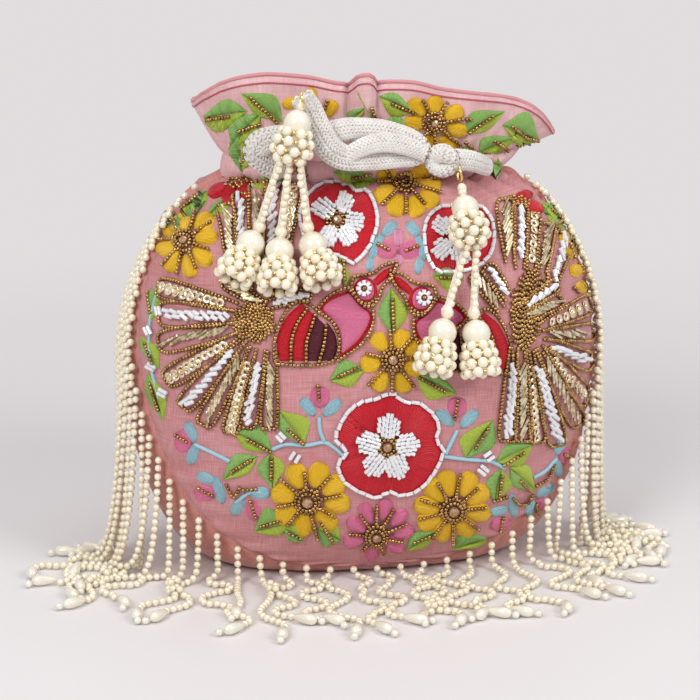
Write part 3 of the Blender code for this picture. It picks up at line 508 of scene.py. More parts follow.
def add_knit(heap, line, width_at, wide=BAND_WIDE, thick=BAND_THICK):
    """A soft flattened tube with knitted stitches; width_at gives the radius along it."""
    line = spaced(line, STITCH_ROW)
    last = len(line) - 1
    radii = [width_at(i / last) * (1 + 0.07 * noise.noise(Vector(line[i]) * 120))
             for i in range(len(line))]
    add_tube(heap, line, [CORE_SHARE * r for r in radii], 14, TOWARD_EYE, wide, thick)
    frames = frames_along(line, TOWARD_EYE)
    for i, (place, radius, (along, side, up)) in enumerate(zip(line, radii, frames)):
        for wale in range(WALES):
            for lean in (-1, 1):
                turn = (wale + 0.5 + 0.23 * lean) * math.tau / WALES + 0.01 * i
                out = wide * math.cos(turn) * side + thick * math.sin(turn) * up
                normal = (thick * math.cos(turn) * side + wide * math.sin(turn) * up).normalized()
                slant = LEG_LEAN * lean + DICE.uniform(-0.15, 0.15)
                way = along * 0.80 + along.cross(normal) * slant
                middle = Vector(place) + out * (LEG_SHARE * radius)
                size = (LEG_SIZE[0] * DICE.uniform(0.85, 1.15), LEG_SIZE[1], LEG_SIZE[2])
                place_copy(heap, LEG, middle, way, size, up=normal)


# %% Knit the bow
def bow_width(share):
    """Radius of the long end: a little fuller in the loops, pulled thin where it is tied."""
    tied = math.exp(-((share - 0.62) / 0.05) ** 2)
    return CORD_WIDTH / 2 * (1.0 + 0.10 * math.sin(share * 9) - 0.12 * tied)


def make_drawstring():
    line = smooth_curve(LONG_ROUTE)
    heap = Heap()
    add_knit(heap, line, bow_width)
    bow = heap.make("bow_cord", COTTON, slot="cotton_cord", replaces=["drawstring_long_end"])
    heap = Heap()
    add_knit(heap, smooth_curve(SHORT_ROUTE), lambda share: CORD_WIDTH / 2 * (0.78 + 0.12 * share))
    run = heap.make("short_run", COTTON, slot="cotton_cord", replaces=["drawstring_short_end"])
    heap = Heap()
    add_knit(heap, smooth_curve(FOLD_ROUTE),
             lambda share: CORD_WIDTH / 2 * (0.62 + 0.2 * math.sin(math.pi * share)))
    fold = heap.make("bow_fold", COTTON, slot="cotton_cord")
    low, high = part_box("drawstring_knot")
    middle = (Vector(low) + Vector(high)) / 2
    heap = Heap()
    for tilt, radius in ((0.5, 0.0040), (-0.9, 0.0037)):
        loop = []
        for k in range(40):
            turn = k / 39 * math.tau
            x, z = radius * math.cos(turn), radius * math.sin(turn)
            loop.append(middle + Vector((x, 0.0018 * math.sin(2 * turn) * tilt, z * math.cos(tilt)))
                        + Vector((0, z * math.sin(tilt), 0)))
        add_knit(heap, np.array([tuple(p) for p in loop]), lambda share: 0.0026, 1.0, 1.0)
    knot = heap.make("bow_knot", COTTON, slot="cotton_cord", replaces=["drawstring_knot"])


make_drawstring()

# %% [markdown]
# ## The stuffed body
# Two embroidered panels and a gusset band are sewn together and stuffed, so the body bulges most
# below its middle and gathers at the neck. The solid gives the form. Here the same formula is sampled
# far more finely, and small noise adds what stuffing and stitching do to silk: soft dents, puckers
# along the seams and gathers under the neck. Moving vertices keeps the seams exactly in place.

# %% Form of the body
BODY_HEIGHT, WIDEST_AT = 0.157, 0.088
BASE_HALF, BELLY_HALF, NECK_HALF = (0.058, 0.030), (0.096, 0.061), (0.055, 0.024)
PLAN_ROUNDNESS, SHOULDER_ROUNDNESS = 2.4, 1.7
SEAM_AT_BASE, SEAM_AT_NECK = 0.0415, 0.006
NECK_ANGLE = math.atan2(NECK_HALF[0], WIDEST_AT - BODY_HEIGHT)


def half_sizes(z):
    """Half width and half depth of the body at a height."""
    z = min(max(z, 0.0), BODY_HEIGHT)
    if z < WIDEST_AT:
        share, start = math.sqrt(1 - (1 - z / WIDEST_AT) ** 2), BASE_HALF
    else:
        rise = (z - WIDEST_AT) / (BODY_HEIGHT - WIDEST_AT)
        share = max(0.0, 1 - rise**SHOULDER_ROUNDNESS) ** (1 / SHOULDER_ROUNDNESS)
        start = NECK_HALF
    return [a + (b - a) * share for a, b in zip(start, BELLY_HALF)]


def oval_depth(x, half_width, half_depth):
    share = min(abs(x) / half_width, 1.0)
    return half_depth * (1 - share**PLAN_ROUNDNESS) ** (1 / PLAN_ROUNDNESS)


def fill_at(x, y, z):
    """Below 1 inside the body, 1 on its skin."""
    w, d = half_sizes(z)
    return (abs(x) / w) ** PLAN_ROUNDNESS + (abs(y) / d) ** PLAN_ROUNDNESS


def body_normal(point):
    x, y, z = point
    step = 0.0005
    low, high = max(z - step, 0.0), min(z + step, BODY_HEIGHT - 0.0008)
    if high <= low:
        low, high = BODY_HEIGHT - 0.003, BODY_HEIGHT - 0.0008
    slope = Vector((fill_at(x + step, y, z) - fill_at(x - step, y, z),
                    fill_at(x, y + step, z) - fill_at(x, y - step, z),
                    (fill_at(x, y, high) - fill_at(x, y, low)) * 2 * step / (high - low)))
    return Vector((0, 0, -1)) if z < 0.0001 else slope.normalized()


def seam_y(z):
    return -(SEAM_AT_NECK + (SEAM_AT_BASE - SEAM_AT_NECK) * (1 - z / BODY_HEIGHT))


def skin_along(angle, y_of_height):
    """Point of the skin seen from the belly's middle at an angle from straight down."""
    near, far = 0.0, 0.2
    for _ in range(36):
        middle = (near + far) / 2
        x, z = middle * math.sin(angle), WIDEST_AT - middle * math.cos(angle)
        inside = 0 <= z <= BODY_HEIGHT and fill_at(x, y_of_height(z), z) < 1
        near, far = (middle, far) if inside else (near, middle)
    x, z = near * math.sin(angle), WIDEST_AT - near * math.cos(angle)
    return Vector((x, y_of_height(z), z))


def seam_stations(count):
    """Right half of the front seam, from the bottom to the neck."""
    found = []
    for i in range(count + 1):
        angle = NECK_ANGLE * (i / count) ** 0.85
        point = skin_along(angle, seam_y)
        if i == count:
            across = abs(seam_y(BODY_HEIGHT))
            point = Vector((oval_depth(across, NECK_HALF[1], NECK_HALF[0]), -across, BODY_HEIGHT))
        found.append((angle, point))
    return found


print("The stuffed belly is", [round(2 * half / MM) for half in BELLY_HALF], "mm wide and deep")


# %% Dents, puckers and gathers
def ease(low, high, value):
    """0 at low, 1 at high, with a soft start and end."""
    share = min(max((value - low) / (high - low), 0.0), 1.0)
    return share * share * (3 - 2 * share)


BIG_DENT, SMALL_DENT, PUCKER_DEPTH, VALLEY_DEPTH, GATHER_DEPTH = 0.0013, 0.0005, 0.0007, 0.0012, 0.0012
PUCKER_REACH, PUCKER_STEP, VALLEY_REACH = 0.004, 0.0021, 0.0022
GATHERS, GATHER_FROM, GATHER_TO = 24, 0.122, 0.156


def cloth_relief(point, from_seam, along_seam):
    """How far the cloth stands out or in, in metres, at a point of the body."""
    point = Vector(point)
    dent = BIG_DENT * noise.noise(point * 21) + SMALL_DENT * noise.noise(point * 60)
    reach = from_seam / PUCKER_REACH
    pucker = reach * math.exp(1 - reach) * PUCKER_DEPTH * math.sin(along_seam / PUCKER_STEP)
    valley = -VALLEY_DEPTH * math.exp(-((from_seam / VALLEY_REACH) ** 2))
    around = math.atan2(point[1] / NECK_HALF[1], point[0] / NECK_HALF[0])
    fold = math.sin(GATHERS * around + 3 * noise.noise(point * 40))
    gather = ease(GATHER_FROM, GATHER_TO, point[2]) * GATHER_DEPTH * fold
    return (dent + pucker + valley + gather) * ease(0.0, 0.004, point[2])


SEAM_ALLOWANCE = 0.0025
STRETCH_ACROSS, STRETCH_UP = 1.12, 1.1


def with_allowance(row, marks, normals):
    """Turns both edges of a cut piece inwards, so that a seam never gapes."""
    row = [row[0] - normals[0] * SEAM_ALLOWANCE] + row + [row[-1] - normals[1] * SEAM_ALLOWANCE]
    return row, [marks[0]] + marks + [marks[-1]]


def cloth_mesh(name, rows, cloth, material, slot, replaces, flip=False):
    """A grid of points with its cloth coordinates, as one open sheet."""
    heap, width = Heap(), len(rows[0])
    faces = []
    for r in range(len(rows) - 1):
        for c in range(width - 1):
            a = r * width + c
            quad = (a, a + 1, a + width + 1, a + width)
            faces.append(quad[::-1] if flip else quad)
    heap.add([tuple(p) for row in rows for p in row], faces, [uv for row in cloth for uv in row])
    return heap.make(name, material, slot=slot, replaces=replaces)


def make_panel(name, side, rows_count, columns, replaces):
    rows, cloth, run, before = [], [], 0.0, None
    for _, edge in seam_stations(rows_count):
        if before is not None:
            run += (edge - before).length
        before = edge
        w, d = half_sizes(edge.z)
        row, marks = [], []
        for c in range(columns + 1):
            share = math.sin((c / columns * 2 - 1) * math.pi / 2)
            x = edge.x * share
            point = Vector((x, -oval_depth(x, w, d), edge.z))
            from_seam = edge.x * (1 - abs(share)) + 0.4 * max(0.0, 0.012 - edge.z)
            point += body_normal(point) * cloth_relief(point, from_seam, run)
            row.append(Vector((point.x, side * -point.y, point.z)))
            marks.append((1000 * x * STRETCH_ACROSS, 1000 * edge.z * STRETCH_UP))
        turned_in = [body_normal(Vector((-edge.x, edge.y, edge.z))), body_normal(edge)]
        turned_in = [Vector((n.x, side * -n.y, n.z)) for n in turned_in]
        row, marks = with_allowance(row, marks, turned_in)
        rows.append(row)
        cloth.append(marks)
    return cloth_mesh(name, rows, cloth, PINK_SILK, "panel_silk", replaces, flip=side > 0)


def make_gusset(stations_count=150, columns=22):
    rows, cloth, run, before = [], [], 0.0, None
    stations = seam_stations(stations_count)
    for angle, edge in [(-a, Vector((-p.x, p.y, p.z))) for a, p in reversed(stations)] + stations[1:]:
        if before is not None:
            run += (edge - before).length
        before = edge
        row, marks = [], []
        for c in range(columns + 1):
            y = edge.y * (1 - 2 * c / columns)
            if edge.z >= BODY_HEIGHT:
                x = oval_depth(y, NECK_HALF[1], NECK_HALF[0])
                point = Vector((math.copysign(x, angle), y, BODY_HEIGHT))
            else:
                point = skin_along(angle, lambda z, y=y: y)
            point += body_normal(point) * cloth_relief(point, abs(edge.y) - abs(y), run)
            row.append(point)
            marks.append((1000 * y, 1000 * run))
        far_edge = Vector((edge.x, -edge.y, edge.z))
        row, marks = with_allowance(row, marks, [body_normal(edge), body_normal(far_edge)])
        rows.append(row)
        cloth.append(marks)
    return cloth_mesh("gusset_silk_band", rows, cloth, CORAL_SILK, "gusset_silk", ["gusset_band"])


front_silk = make_panel("front_silk", -1, 120, 130, ["front_panel"])
make_panel("back_silk", 1, 60, 64, ["back_panel"])
gusset_silk = make_gusset()

# %% [markdown]
# ## Channel and frill
# Above the neck the cloth is gathered into the drawstring's channel, and then flares into a frill
# with a rolled hem and one pleat in the middle of the front. The frill is an oval ring of cloth, so
# a formula in the angle round the neck gives its height, flare and folds. Two skins and the hem give
# it a thickness that reads well from above.

# %% Form of the frill
CHANNEL_FOOT, CHANNEL_HEIGHT, CHANNEL_PROUD = BODY_HEIGHT, 0.0086, 0.0026
LEFT_SPREAD, RIGHT_SPREAD = -0.0015, 0.0095
FRILL_FOOT = BODY_HEIGHT + CHANNEL_HEIGHT
FRILL_FLARE, FRILL_LEAN = (0.0180, 0.004), 0.0060
FRILL_THICKNESS, HEM_RADIUS = 0.0014, 0.0008
PLEAT_PLACE, PLEAT_WIDTH, PLEAT_PROUD = -0.0035, 0.0038, 0.0042
FRILL_WAVE, FRILL_GATHER, CHANNEL_GATHER = 0.0022, 0.0009, 0.0010
FRONT_TOPS = [(-0.070, 0.1860), (-0.057, 0.1955), (-0.044, 0.1990), (-0.026, 0.1985),
              (-0.012, 0.1955), (0.003, 0.1960), (0.016, 0.1955), (0.030, 0.1918), (0.054, 0.1880),
              (0.068, 0.1820), (0.079, 0.1705)]
FRONT_LINE = smooth_curve(FRONT_TOPS)


def frill_height(x, front):
    """The front's left lobe stands tallest and its right end dips; the back is gathered lower."""
    ends = np.interp(x, (FRONT_TOPS[0][0], FRONT_TOPS[-1][0]), (FRONT_TOPS[0][1], FRONT_TOPS[-1][1]))
    tall = np.interp(x, FRONT_LINE[:, 0], FRONT_LINE[:, 1])
    return float(ends + (tall - ends) * front) - FRILL_FOOT


def side_spread(c):
    """How far the frill's foot stands out at its left (c < 0) and right ends."""
    return (RIGHT_SPREAD if c > 0 else LEFT_SPREAD) * abs(c) ** 3


def gather_wave(angle):
    """Small folds round the neck, closer in some places than in others."""
    return math.sin(46 * angle + 2 * math.sin(5 * angle))


def frill_point(angle, rise, inset=0.0):
    c, s = math.cos(angle), math.sin(angle)
    power = 2 / PLAN_ROUNDNESS
    flare = max(rise, 0.0) ** 0.8
    wave = FRILL_WAVE * flare * math.cos(7 * angle + 0.6)
    gather = FRILL_GATHER * (1 - rise) * gather_wave(angle)
    side_flare = FRILL_FLARE[0] + FRILL_LEAN * c - side_spread(c)
    half_width = NECK_HALF[0] - inset + side_spread(c) + side_flare * flare + gather
    half_depth = NECK_HALF[1] - inset + FRILL_FLARE[1] * flare + gather
    x = half_width * math.copysign(abs(c) ** power, c)
    y = half_depth * math.copysign(abs(s) ** power, s) + math.copysign(wave * abs(s), s)
    spread = x / half_width * (NECK_HALF[0] + FRILL_FLARE[0] + FRILL_LEAN * c)
    tall = frill_height(spread, ease(0.10, -0.35, s) if s > -0.35 else 1.0)
    if s < 0:
        off = (x - PLEAT_PLACE) / PLEAT_WIDTH
        fold, groove = 1 / (1 + off ** 6), math.exp(-((abs(off) - 1.45) / 0.4) ** 2)
        y -= PLEAT_PROUD * (flare * fold - 0.7 * flare * groove)
        tall += 0.0035 * fold - 0.0012 * groove
    crease = 0.0006 * noise.noise(Vector((x * 60, y * 60, rise * 1.5)))
    return Vector((x, y + crease, FRILL_FOOT + tall * rise))


print("The frill's front is", round(frill_height(0.0, 1.0) / MM), "mm high")

# %% Sew the channel, the frill and its hem
def ring_sheet(name, rows, material, slot, replaces):
    """A grid whose rows close on themselves."""
    heap = Heap()
    marks = [(p.x / MM, p.z / MM) for row in rows for p in row]
    faces = ring_faces(len(rows), len(rows[0]))[:-2]
    heap.add([tuple(p) for row in rows for p in row], faces, marks)
    return heap.make(name, material, slot=slot, replaces=replaces)


def make_frill(columns=460, steps=12):
    angles = [k * math.tau / columns for k in range(columns)]
    outer = [[frill_point(a, r / steps) for a in angles] for r in range(steps + 1)]
    inner = [[frill_point(a, r / steps, FRILL_THICKNESS) for a in angles] for r in range(steps, -1, -1)]
    frill = ring_sheet("frill_silk", outer + inner, FRILL_SILK, "panel_silk", ["ruffle"])
    rim = [frill_point(a, 1.0, FRILL_THICKNESS / 2) + Vector((0, 0, 0.0008)) for a in angles]
    heap = Heap()
    line = np.array([tuple(p) for p in rim + rim[:2]])
    roll = [HEM_RADIUS * (1 + 0.10 * noise.noise(Vector((i * 0.13, 0, 0)))) for i in range(len(line))]
    add_tube(heap, line, roll, 8)
    heap.make("frill_hem_roll", HEM_SILK, slot="gusset_silk", replaces=["ruffle_hem"])
    # A thin dark rose thread just under the rolled hem: the hem's stitching, and painted shadow under
    # the roll as well.
    heap = Heap()
    under = [frill_point(a, 0.925) for a in angles]
    out = [p + Vector((p.x, p.y * 3, 0)).normalized() * 0.0001 for p in under + under[:2]]
    add_tube(heap, np.array([tuple(p) for p in out]), [0.00034] * len(out), 6)
    heap.make("frill_hem_stitching_and_shadow", ROSE_FLOSS, slot="red_thread")
    return frill


def make_channel(columns=220, steps=8):
    rows = []
    for r in range(steps + 1):
        share = r / steps
        proud = CHANNEL_PROUD * math.sin(math.pi * share)
        ring = []
        for k in range(columns):
            angle = k * math.tau / columns
            c, s = math.cos(angle), math.sin(angle)
            gather = CHANNEL_GATHER * gather_wave(angle)
            spread = side_spread(c) * share - 0.8 * proud * abs(c) ** 3
            half_width = NECK_HALF[0] + proud + gather + spread
            x = half_width * math.copysign(abs(c) ** (2 / PLAN_ROUNDNESS), c)
            y = (NECK_HALF[1] + proud + gather) * math.copysign(abs(s) ** (2 / PLAN_ROUNDNESS), s)
            ring.append(Vector((x, y, CHANNEL_FOOT + CHANNEL_HEIGHT * share)))
        rows.append(ring)
    rows += [[Vector((p.x * 0.97, p.y * 0.94, p.z)) for p in ring] for ring in rows[::-1]]
    return ring_sheet("channel_silk", rows, FRILL_SILK, "panel_silk", ["drawstring_channel"])


frill_silk = make_frill()
channel_silk = make_channel()
for node, material in (("lining", LINING_SATIN), ("base_card", BOARD)):
    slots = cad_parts[node].data.materials
    slots.clear()
    slots.append(material)

# %% [markdown]
# ## Where the embroidery sits
# A ray goes from the camera through a place in the picture, and where it meets the cloth is where the
# needle goes through. A bounding volume tree finds that meeting point quickly, and its normal says
# which way is out, so every bead and stitch lies on the bulging cloth at its own height.

# %% Seat picture places on the cloth
PIXELS_PER_MM = 2.5


def skin_of(pieces):
    points, faces = [], []
    for piece in pieces:
        base = len(points)
        points += [v.co.copy() for v in piece.data.vertices]
        faces += [tuple(i + base for i in p.vertices) for p in piece.data.polygons]
    return BVHTree.FromPolygons(points, faces)


CLOTH = skin_of([front_silk, gusset_silk, frill_silk, channel_silk])
BACK_LIMIT = -0.006


def seat(x, y, lift):
    """Point and outward direction where a picture place meets the cloth."""
    way = ray_to(x, y)
    place, normal, _, _ = CLOTH.ray_cast(EYE, way)
    if place is None or place.y > BACK_LIMIT:
        meets_front = EYE + way * ((-NECK_HALF[1] - EYE.y) / way.y)
        place, normal, _, _ = CLOTH.find_nearest(meets_front)
    if normal.dot(way) > 0:
        normal = -normal
    return place + normal * lift, normal


def seat_line(line, lift):
    """Seats a picture line; gives its points and its outward directions as arrays."""
    seated = [seat(x, y, lift) for x, y in line]
    return np.array([tuple(p) for p, _ in seated]), np.array([tuple(n) for _, n in seated])


def picture_oval(middle, half_x, half_y, turn=0.0, count=24):
    """Closed oval in the picture."""
    angles = np.linspace(0, math.tau, count + 1)
    x, y = half_x * np.cos(angles), half_y * np.sin(angles)
    c, s = math.cos(turn), math.sin(turn)
    return np.stack([middle[0] + c * x - s * y, middle[1] + s * x + c * y], axis=1)


print("The picture's middle meets the cloth at", [round(v, 3) for v in seat(350, 350, 0.0)[0]])

# %% [markdown]
# ## Stitches
# Satin stitch lays parallel threads from one edge of a shape to the other, over a little padding. So
# each patch is a grid ruled between two edges, raised in the middle. Its cloth coordinates count the
# threads in millimetres, which is what the thread shader reads.

# %% Satin patches, leaves and stems
def satin(heap, first, second, lift=0.0011, lengthwise=False, smooth=True, ring=False):
    """Threads run from the first edge to the second, or along both when lengthwise."""
    first = smooth_curve(first) if smooth else np.asarray(first, float)
    second = smooth_curve(second) if smooth else np.asarray(second, float)
    longest = max(np.linalg.norm(np.diff(edge, axis=0), axis=1).sum() for edge in (first, second))
    along = max(6, int(longest / 2.6))
    first, second = spaced(first, count=along), spaced(second, count=along)
    gap = np.linalg.norm(second - first, axis=1)
    across = max(4, int(gap.max() / 2.8))
    points, threads, run = [], [], 0.0
    for i in range(along):
        if i:
            run += 0.5 * (np.linalg.norm(first[i] - first[i - 1])
                          + np.linalg.norm(second[i] - second[i - 1]))
        end_fall = 1.0 if ring else 1 - abs(2 * i / (along - 1) - 1) ** 6
        for j in range(across + 1):
            share = j / across
            x, y = first[i] + (second[i] - first[i]) * share
            arch = 0.00012 + lift * (1 - abs(2 * share - 1) ** 3) * end_fall
            points.append(tuple(seat(x, y, arch)[0]))
            cross = (share - 0.5) * (gap.max() if lengthwise else gap[i]) / PIXELS_PER_MM
            down = run / PIXELS_PER_MM
            threads.append((cross, down) if lengthwise else (down, cross))
    faces = []
    for i in range(along - 1):
        for j in range(across):
            a = i * (across + 1) + j
            faces.append((a, a + 1, a + across + 2, a + across + 1))
    heap.add(points, faces, threads)


def satin_oval(heap, middle, tip_way, half_long, half_wide, lift=0.0013):
    """A padded petal whose threads run lengthwise."""
    middle, way = np.asarray(middle, float), np.asarray(tip_way, float)
    way = way / np.linalg.norm(way)
    side = np.array((-way[1], way[0]))
    edges = []
    for sign in (-1, 1):
        turns = np.linspace(0, math.pi, 9)
        edges.append([middle - way * half_long * math.cos(t) + side * sign * half_wide
                      * math.sin(t) ** 0.8 * (1 - 0.12 * math.cos(t)) for t in turns])
    satin(heap, *edges, lift=lift, lengthwise=True, smooth=False)


def leaf(green_side, lime_side, tip, base, rib=None):
    """Two slopes of slanting stitches with a bead rib; each side is named by its fullest point."""
    tip, base = np.asarray(tip, float), np.asarray(base, float)
    middle = (tip + base) / 2
    for heap, full in ((SATIN["green"], green_side), (SATIN["lime"], lime_side)):
        full = np.asarray(full, float)
        slit = middle + (full - middle) * 0.02
        satin(heap, [tip, full, base], [tip, slit, base], lift=0.0010)
    if rib:
        bead_line(rib, lift=0.0012)


STEM_RADIUS = 0.0008


def stem(line):
    """A raised stem stitch."""
    line = spaced(smooth_curve(line), pitch=2.0)
    points, _ = seat_line(line, 0.0004)
    add_tube(SATIN["blue"], points, [STEM_RADIUS] * len(points), 6)


# %% [markdown]
# ## Beads, bugles and sequins
# Seed beads are threaded in rows, so each bead's hole follows its row. Bugles are short glass tubes,
# laid side by side at a slant. Sequins overlap like scales. Steps and lengths here are in the
# picture's own points, and radii and lifts are in metres.

# %% Bead templates and rows
BEAD = turned_template([(-0.80, 0.46), (-0.72, 0.80), (-0.30, 1.0), (0.30, 1.0), (0.72, 0.80),
                        (0.80, 0.46)], 7)
TUBE = turned_template([(-1.0, 0.72), (-0.94, 1.0), (0.94, 1.0), (1.0, 0.72)], 7)


def ring_template(profile, sides):
    """A ring turned from a closed (height, radius) outline, with its hole left open."""
    points, faces = turned_template(profile + profile[:1], sides)
    return points, faces[:-2]


DISC = ring_template([(0.06, 0.34), (0.10, 0.62), (0.34, 0.98), (0.40, 1.0), (0.26, 0.62),
                      (0.20, 0.36)], 14)
PEARL_BALL, BIG_BALL = ball_template(5, 9), ball_template(16, 28)
GEM = turned_template([(-0.3, 0.8), (0.0, 1.0), (0.42, 0.78), (0.62, 0.40)], 9)
BEAD_RADIUS, BEAD_PITCH, BUGLE_RADIUS = 0.00082, 0.00148, 0.00078
OUTLINE_STEP, OUTLINE_REACH, SEQUIN_PITCH = 0.7, 8.6, 6.8
SATIN = {colour: Heap() for colour in
         ("red", "maroon", "yellow", "green", "lime", "pink", "lilac", "blue")}
BEADS = {kind: Heap() for kind in
         ("gold_left", "gold_right", "white", "bugle_left", "bugle_right", "sequin", "stone")}


def gold_heap(x):
    return BEADS["gold_left"] if x < PICTURE_SIDE * 0.54 else BEADS["gold_right"]


def bead_line(line, lift=0.0006, closed=False):
    """Beads at an even pitch of real length along a picture line."""
    both = np.hstack(seat_line(smooth_curve(line, closed=closed), lift))
    steps = np.linalg.norm(np.diff(both[:, :3], axis=0), axis=1).sum()
    both = spaced(both, count=max(2, round(steps / BEAD_PITCH) + 1))
    if closed:
        both = both[:-1]
    heap = gold_heap(line[0][0])
    for i, row in enumerate(both):
        way = Vector(both[min(i + 1, len(both) - 1), :3] - both[max(i - 1, 0), :3])
        if way.length < 1e-7:
            continue
        jitter = Vector([DICE.uniform(-1, 1) for _ in range(3)]) * 0.16
        size = BEAD_RADIUS * DICE.uniform(0.90, 1.10)
        place_copy(heap, BEAD, row[:3], way.normalized() + jitter, (size, size, size * 0.95),
                   up=row[3:])


def lay_tube(heap, middle, way, length, radius, lift):
    """One bugle whose middle and direction are given in the picture."""
    middle, way = np.asarray(middle, float), np.asarray(way, float)
    way = way / np.linalg.norm(way)
    ends = [seat(*(middle + way * s * length / 2), lift)[0] for s in (-1, 1)]
    along = ends[1] - ends[0]
    if along.length > 0.012 or along.length < 1e-5:
        return
    shape = (radius, radius, along.length / 2)
    place_copy(heap, TUBE, (ends[0] + ends[1]) / 2, along, shape, up=(0, -1, 0.3))


def turned_way(way, degrees):
    c, s = math.cos(math.radians(degrees)), math.sin(math.radians(degrees))
    return np.array((c * way[0] - s * way[1], s * way[0] + c * way[1]))


def white_outline(line):
    """White bugles end to end round a shape, each a little askew."""
    line = spaced(smooth_curve(line, closed=True), pitch=OUTLINE_STEP)
    for i in range(0, len(line) - 1, round(OUTLINE_REACH / OUTLINE_STEP)):
        ahead = line[min(i + 8, len(line) - 1)] - line[max(i - 4, 0)]
        way = turned_way(ahead, DICE.uniform(-9, 9))
        lay_tube(BEADS["white"], line[i], way, 8.2 * DICE.uniform(0.85, 1.05), BUGLE_RADIUS, 0.0010)


def white_cluster(middle, heart, half_long, half_wide):
    """A lobe of short white bugles that point to the flower's heart."""
    middle, heart = np.asarray(middle, float), np.asarray(heart, float)
    way = (middle - heart) / np.linalg.norm(middle - heart)
    side = np.array((-way[1], way[0]))
    for column in np.arange(-half_wide + 1.8, half_wide - 1.0, 3.7):
        room = half_long * math.sqrt(max(0.0, 1 - (column / half_wide) ** 2))
        for row in np.arange(-room, room, 4.9):
            spot = middle + side * (column + DICE.uniform(-0.4, 0.4)) + way * (row + 2.4)
            lean = turned_way(way, column * 2.2 + DICE.uniform(-8, 8))
            lay_tube(BEADS["white"], spot, lean, 4.8, BUGLE_RADIUS, 0.0016)


def sequin_row(line):
    """Sequins overlap along the row, like scales."""
    for x, y in spaced(smooth_curve(line), pitch=SEQUIN_PITCH):
        place, normal = seat(x, y, 0.0006)
        tilt = Vector([DICE.uniform(-1, 1) for _ in range(3)]) * 0.16
        place_copy(BEADS["sequin"], DISC, place, normal + tilt, (0.0019, 0.0019, 0.0016))


# %% [markdown]
# ## Flowers
# The marigolds have padded petals round a smoky stone, and a ray of beads between each two petals.
# The poppies are red satin with a white bugle edge and five white lobes round the stone.

# %% Flower makers
def bead_ring(heart, reach, lift):
    bead_line(list(picture_oval(heart, reach, reach, count=12)[:-1]), lift=lift, closed=True)


def stone(heart, radius, ring=True):
    place, normal = seat(*heart, 0.0016)
    place_copy(BEADS["stone"], GEM, place, normal, (radius, radius, radius * 1.2))
    if ring:
        for row, lift in ((0.75, 0.0020), (2.1, 0.0014)):
            around = (radius * 1000 + row) * PIXELS_PER_MM
            bead_ring(heart, around, lift)


def marigold(heart, petals, half_long, half_wide, rays, stone_radius=0.0022, colour="yellow"):
    heart = np.asarray(heart, float)
    for petal in petals:
        reach = np.asarray(petal, float) - heart
        width = half_wide * DICE.uniform(0.96, 1.08)
        satin_oval(SATIN[colour], heart + 0.93 * reach, reach, half_long, width)
    for ray in rays:
        way = np.asarray(ray, float) - heart
        start = heart + way / np.linalg.norm(way) * (stone_radius * 1000 + 3.2) * PIXELS_PER_MM
        bead_line([start, (start + ray) / 2, ray], lift=0.0015)
    stone(heart, stone_radius)


LOBE_REACH = 0.76


def poppy(heart, rim, lobes, lobe_size, ring):
    heart = np.asarray(heart, float)
    edge = spaced(smooth_curve(rim, closed=True), count=61)
    edge = np.vstack([edge, edge[:3]])
    centre = heart + (edge - heart) * 0.16
    satin(SATIN["red"], edge, centre, lift=0.0009, smooth=False, ring=True)
    white_outline(rim)
    for lobe in lobes:
        white_cluster(heart + (np.asarray(lobe, float) - heart) * LOBE_REACH, heart, *lobe_size)
    stone(heart, 0.0020, ring=False)
    for around in ring:
        bead_ring(heart, around, 0.0013)


# %% Work the flowers
BIG_POPPY_HEART = (386.6, 446)
BIG_POPPY_RIM = [(348, 411), (339, 426.5), (336, 439), (346, 451), (338, 464), (344, 480),
                 (358, 490), (375, 496), (389, 491), (403, 494), (419, 488), (432, 474), (440, 459),
                 (442, 448), (436, 438), (438, 426), (432, 413), (419, 403), (404, 401), (391, 393),
                 (376, 398), (360, 402)]
BIG_POPPY_LOBES = [(389, 420), (411, 443), (397, 469), (371, 466), (364, 440)]
LEFT_POPPY_HEART = (336, 221.5)
LEFT_POPPY_RIM = [(302, 228), (300, 214), (304, 200), (316, 190), (328, 184), (345, 184),
                  (356, 192), (368, 193), (376, 209), (377, 226), (371, 243), (364, 254),
                  (352, 263), (338, 256), (322, 254), (308, 244)]
LEFT_POPPY_LOBES = [(321, 208), (346, 202), (359, 224), (349, 241), (326, 241)]
RIGHT_POPPY_HEART = (455, 238)
RIGHT_POPPY_RIM = [(424, 238), (426, 222), (436, 210), (450, 206), (464, 208), (480, 208),
                   (490, 219), (493, 236), (490, 252), (480, 264), (466, 270), (450, 272),
                   (436, 270), (427, 256)]
RIGHT_POPPY_LOBES = [(439, 225), (466, 222), (474, 243), (460, 259), (438, 252)]

poppy(BIG_POPPY_HEART, BIG_POPPY_RIM, BIG_POPPY_LOBES, (10.5, 11.5), (7.5, 11.2))
poppy(LEFT_POPPY_HEART, LEFT_POPPY_RIM, LEFT_POPPY_LOBES, (9, 9.5), (7.0, 10.5))
poppy(RIGHT_POPPY_HEART, RIGHT_POPPY_RIM, RIGHT_POPPY_LOBES, (8.5, 9), (7.0,))

MIDDLE_HEART = (392, 359)
MIDDLE_PETALS = [(379, 341), (402, 338.6), (416, 348), (369, 364), (415, 368), (380, 383),
                 (403, 384)]
MIDDLE_RAYS = [(389, 331), (411, 338), (422, 357), (413, 385), (391.4, 390), (368, 384), (366, 353)]
LOW_LEFT_HEART = (307, 500)
LOW_LEFT_PETALS = [(296, 474), (319, 473), (335, 485), (339, 503), (327, 520), (304, 524),
                   (286, 514), (282, 494)]
LOW_LEFT_RAYS = [(281, 478), (304.5, 472), (330, 475), (340, 494), (334, 515), (317, 537),
                 (288, 523), (278, 505)]
LOW_RIGHT_HEART = (452.4, 509)
LOW_RIGHT_PETALS = [(434, 489), (447, 481), (468, 482), (479, 494), (479, 512), (464, 526),
                    (443, 530), (428, 521), (425, 506)]
LOW_RIGHT_RAYS = [(437, 482), (459, 473), (476, 487), (484, 506), (477, 527), (452, 542),
                  (432, 535), (419, 517), (421, 498)]
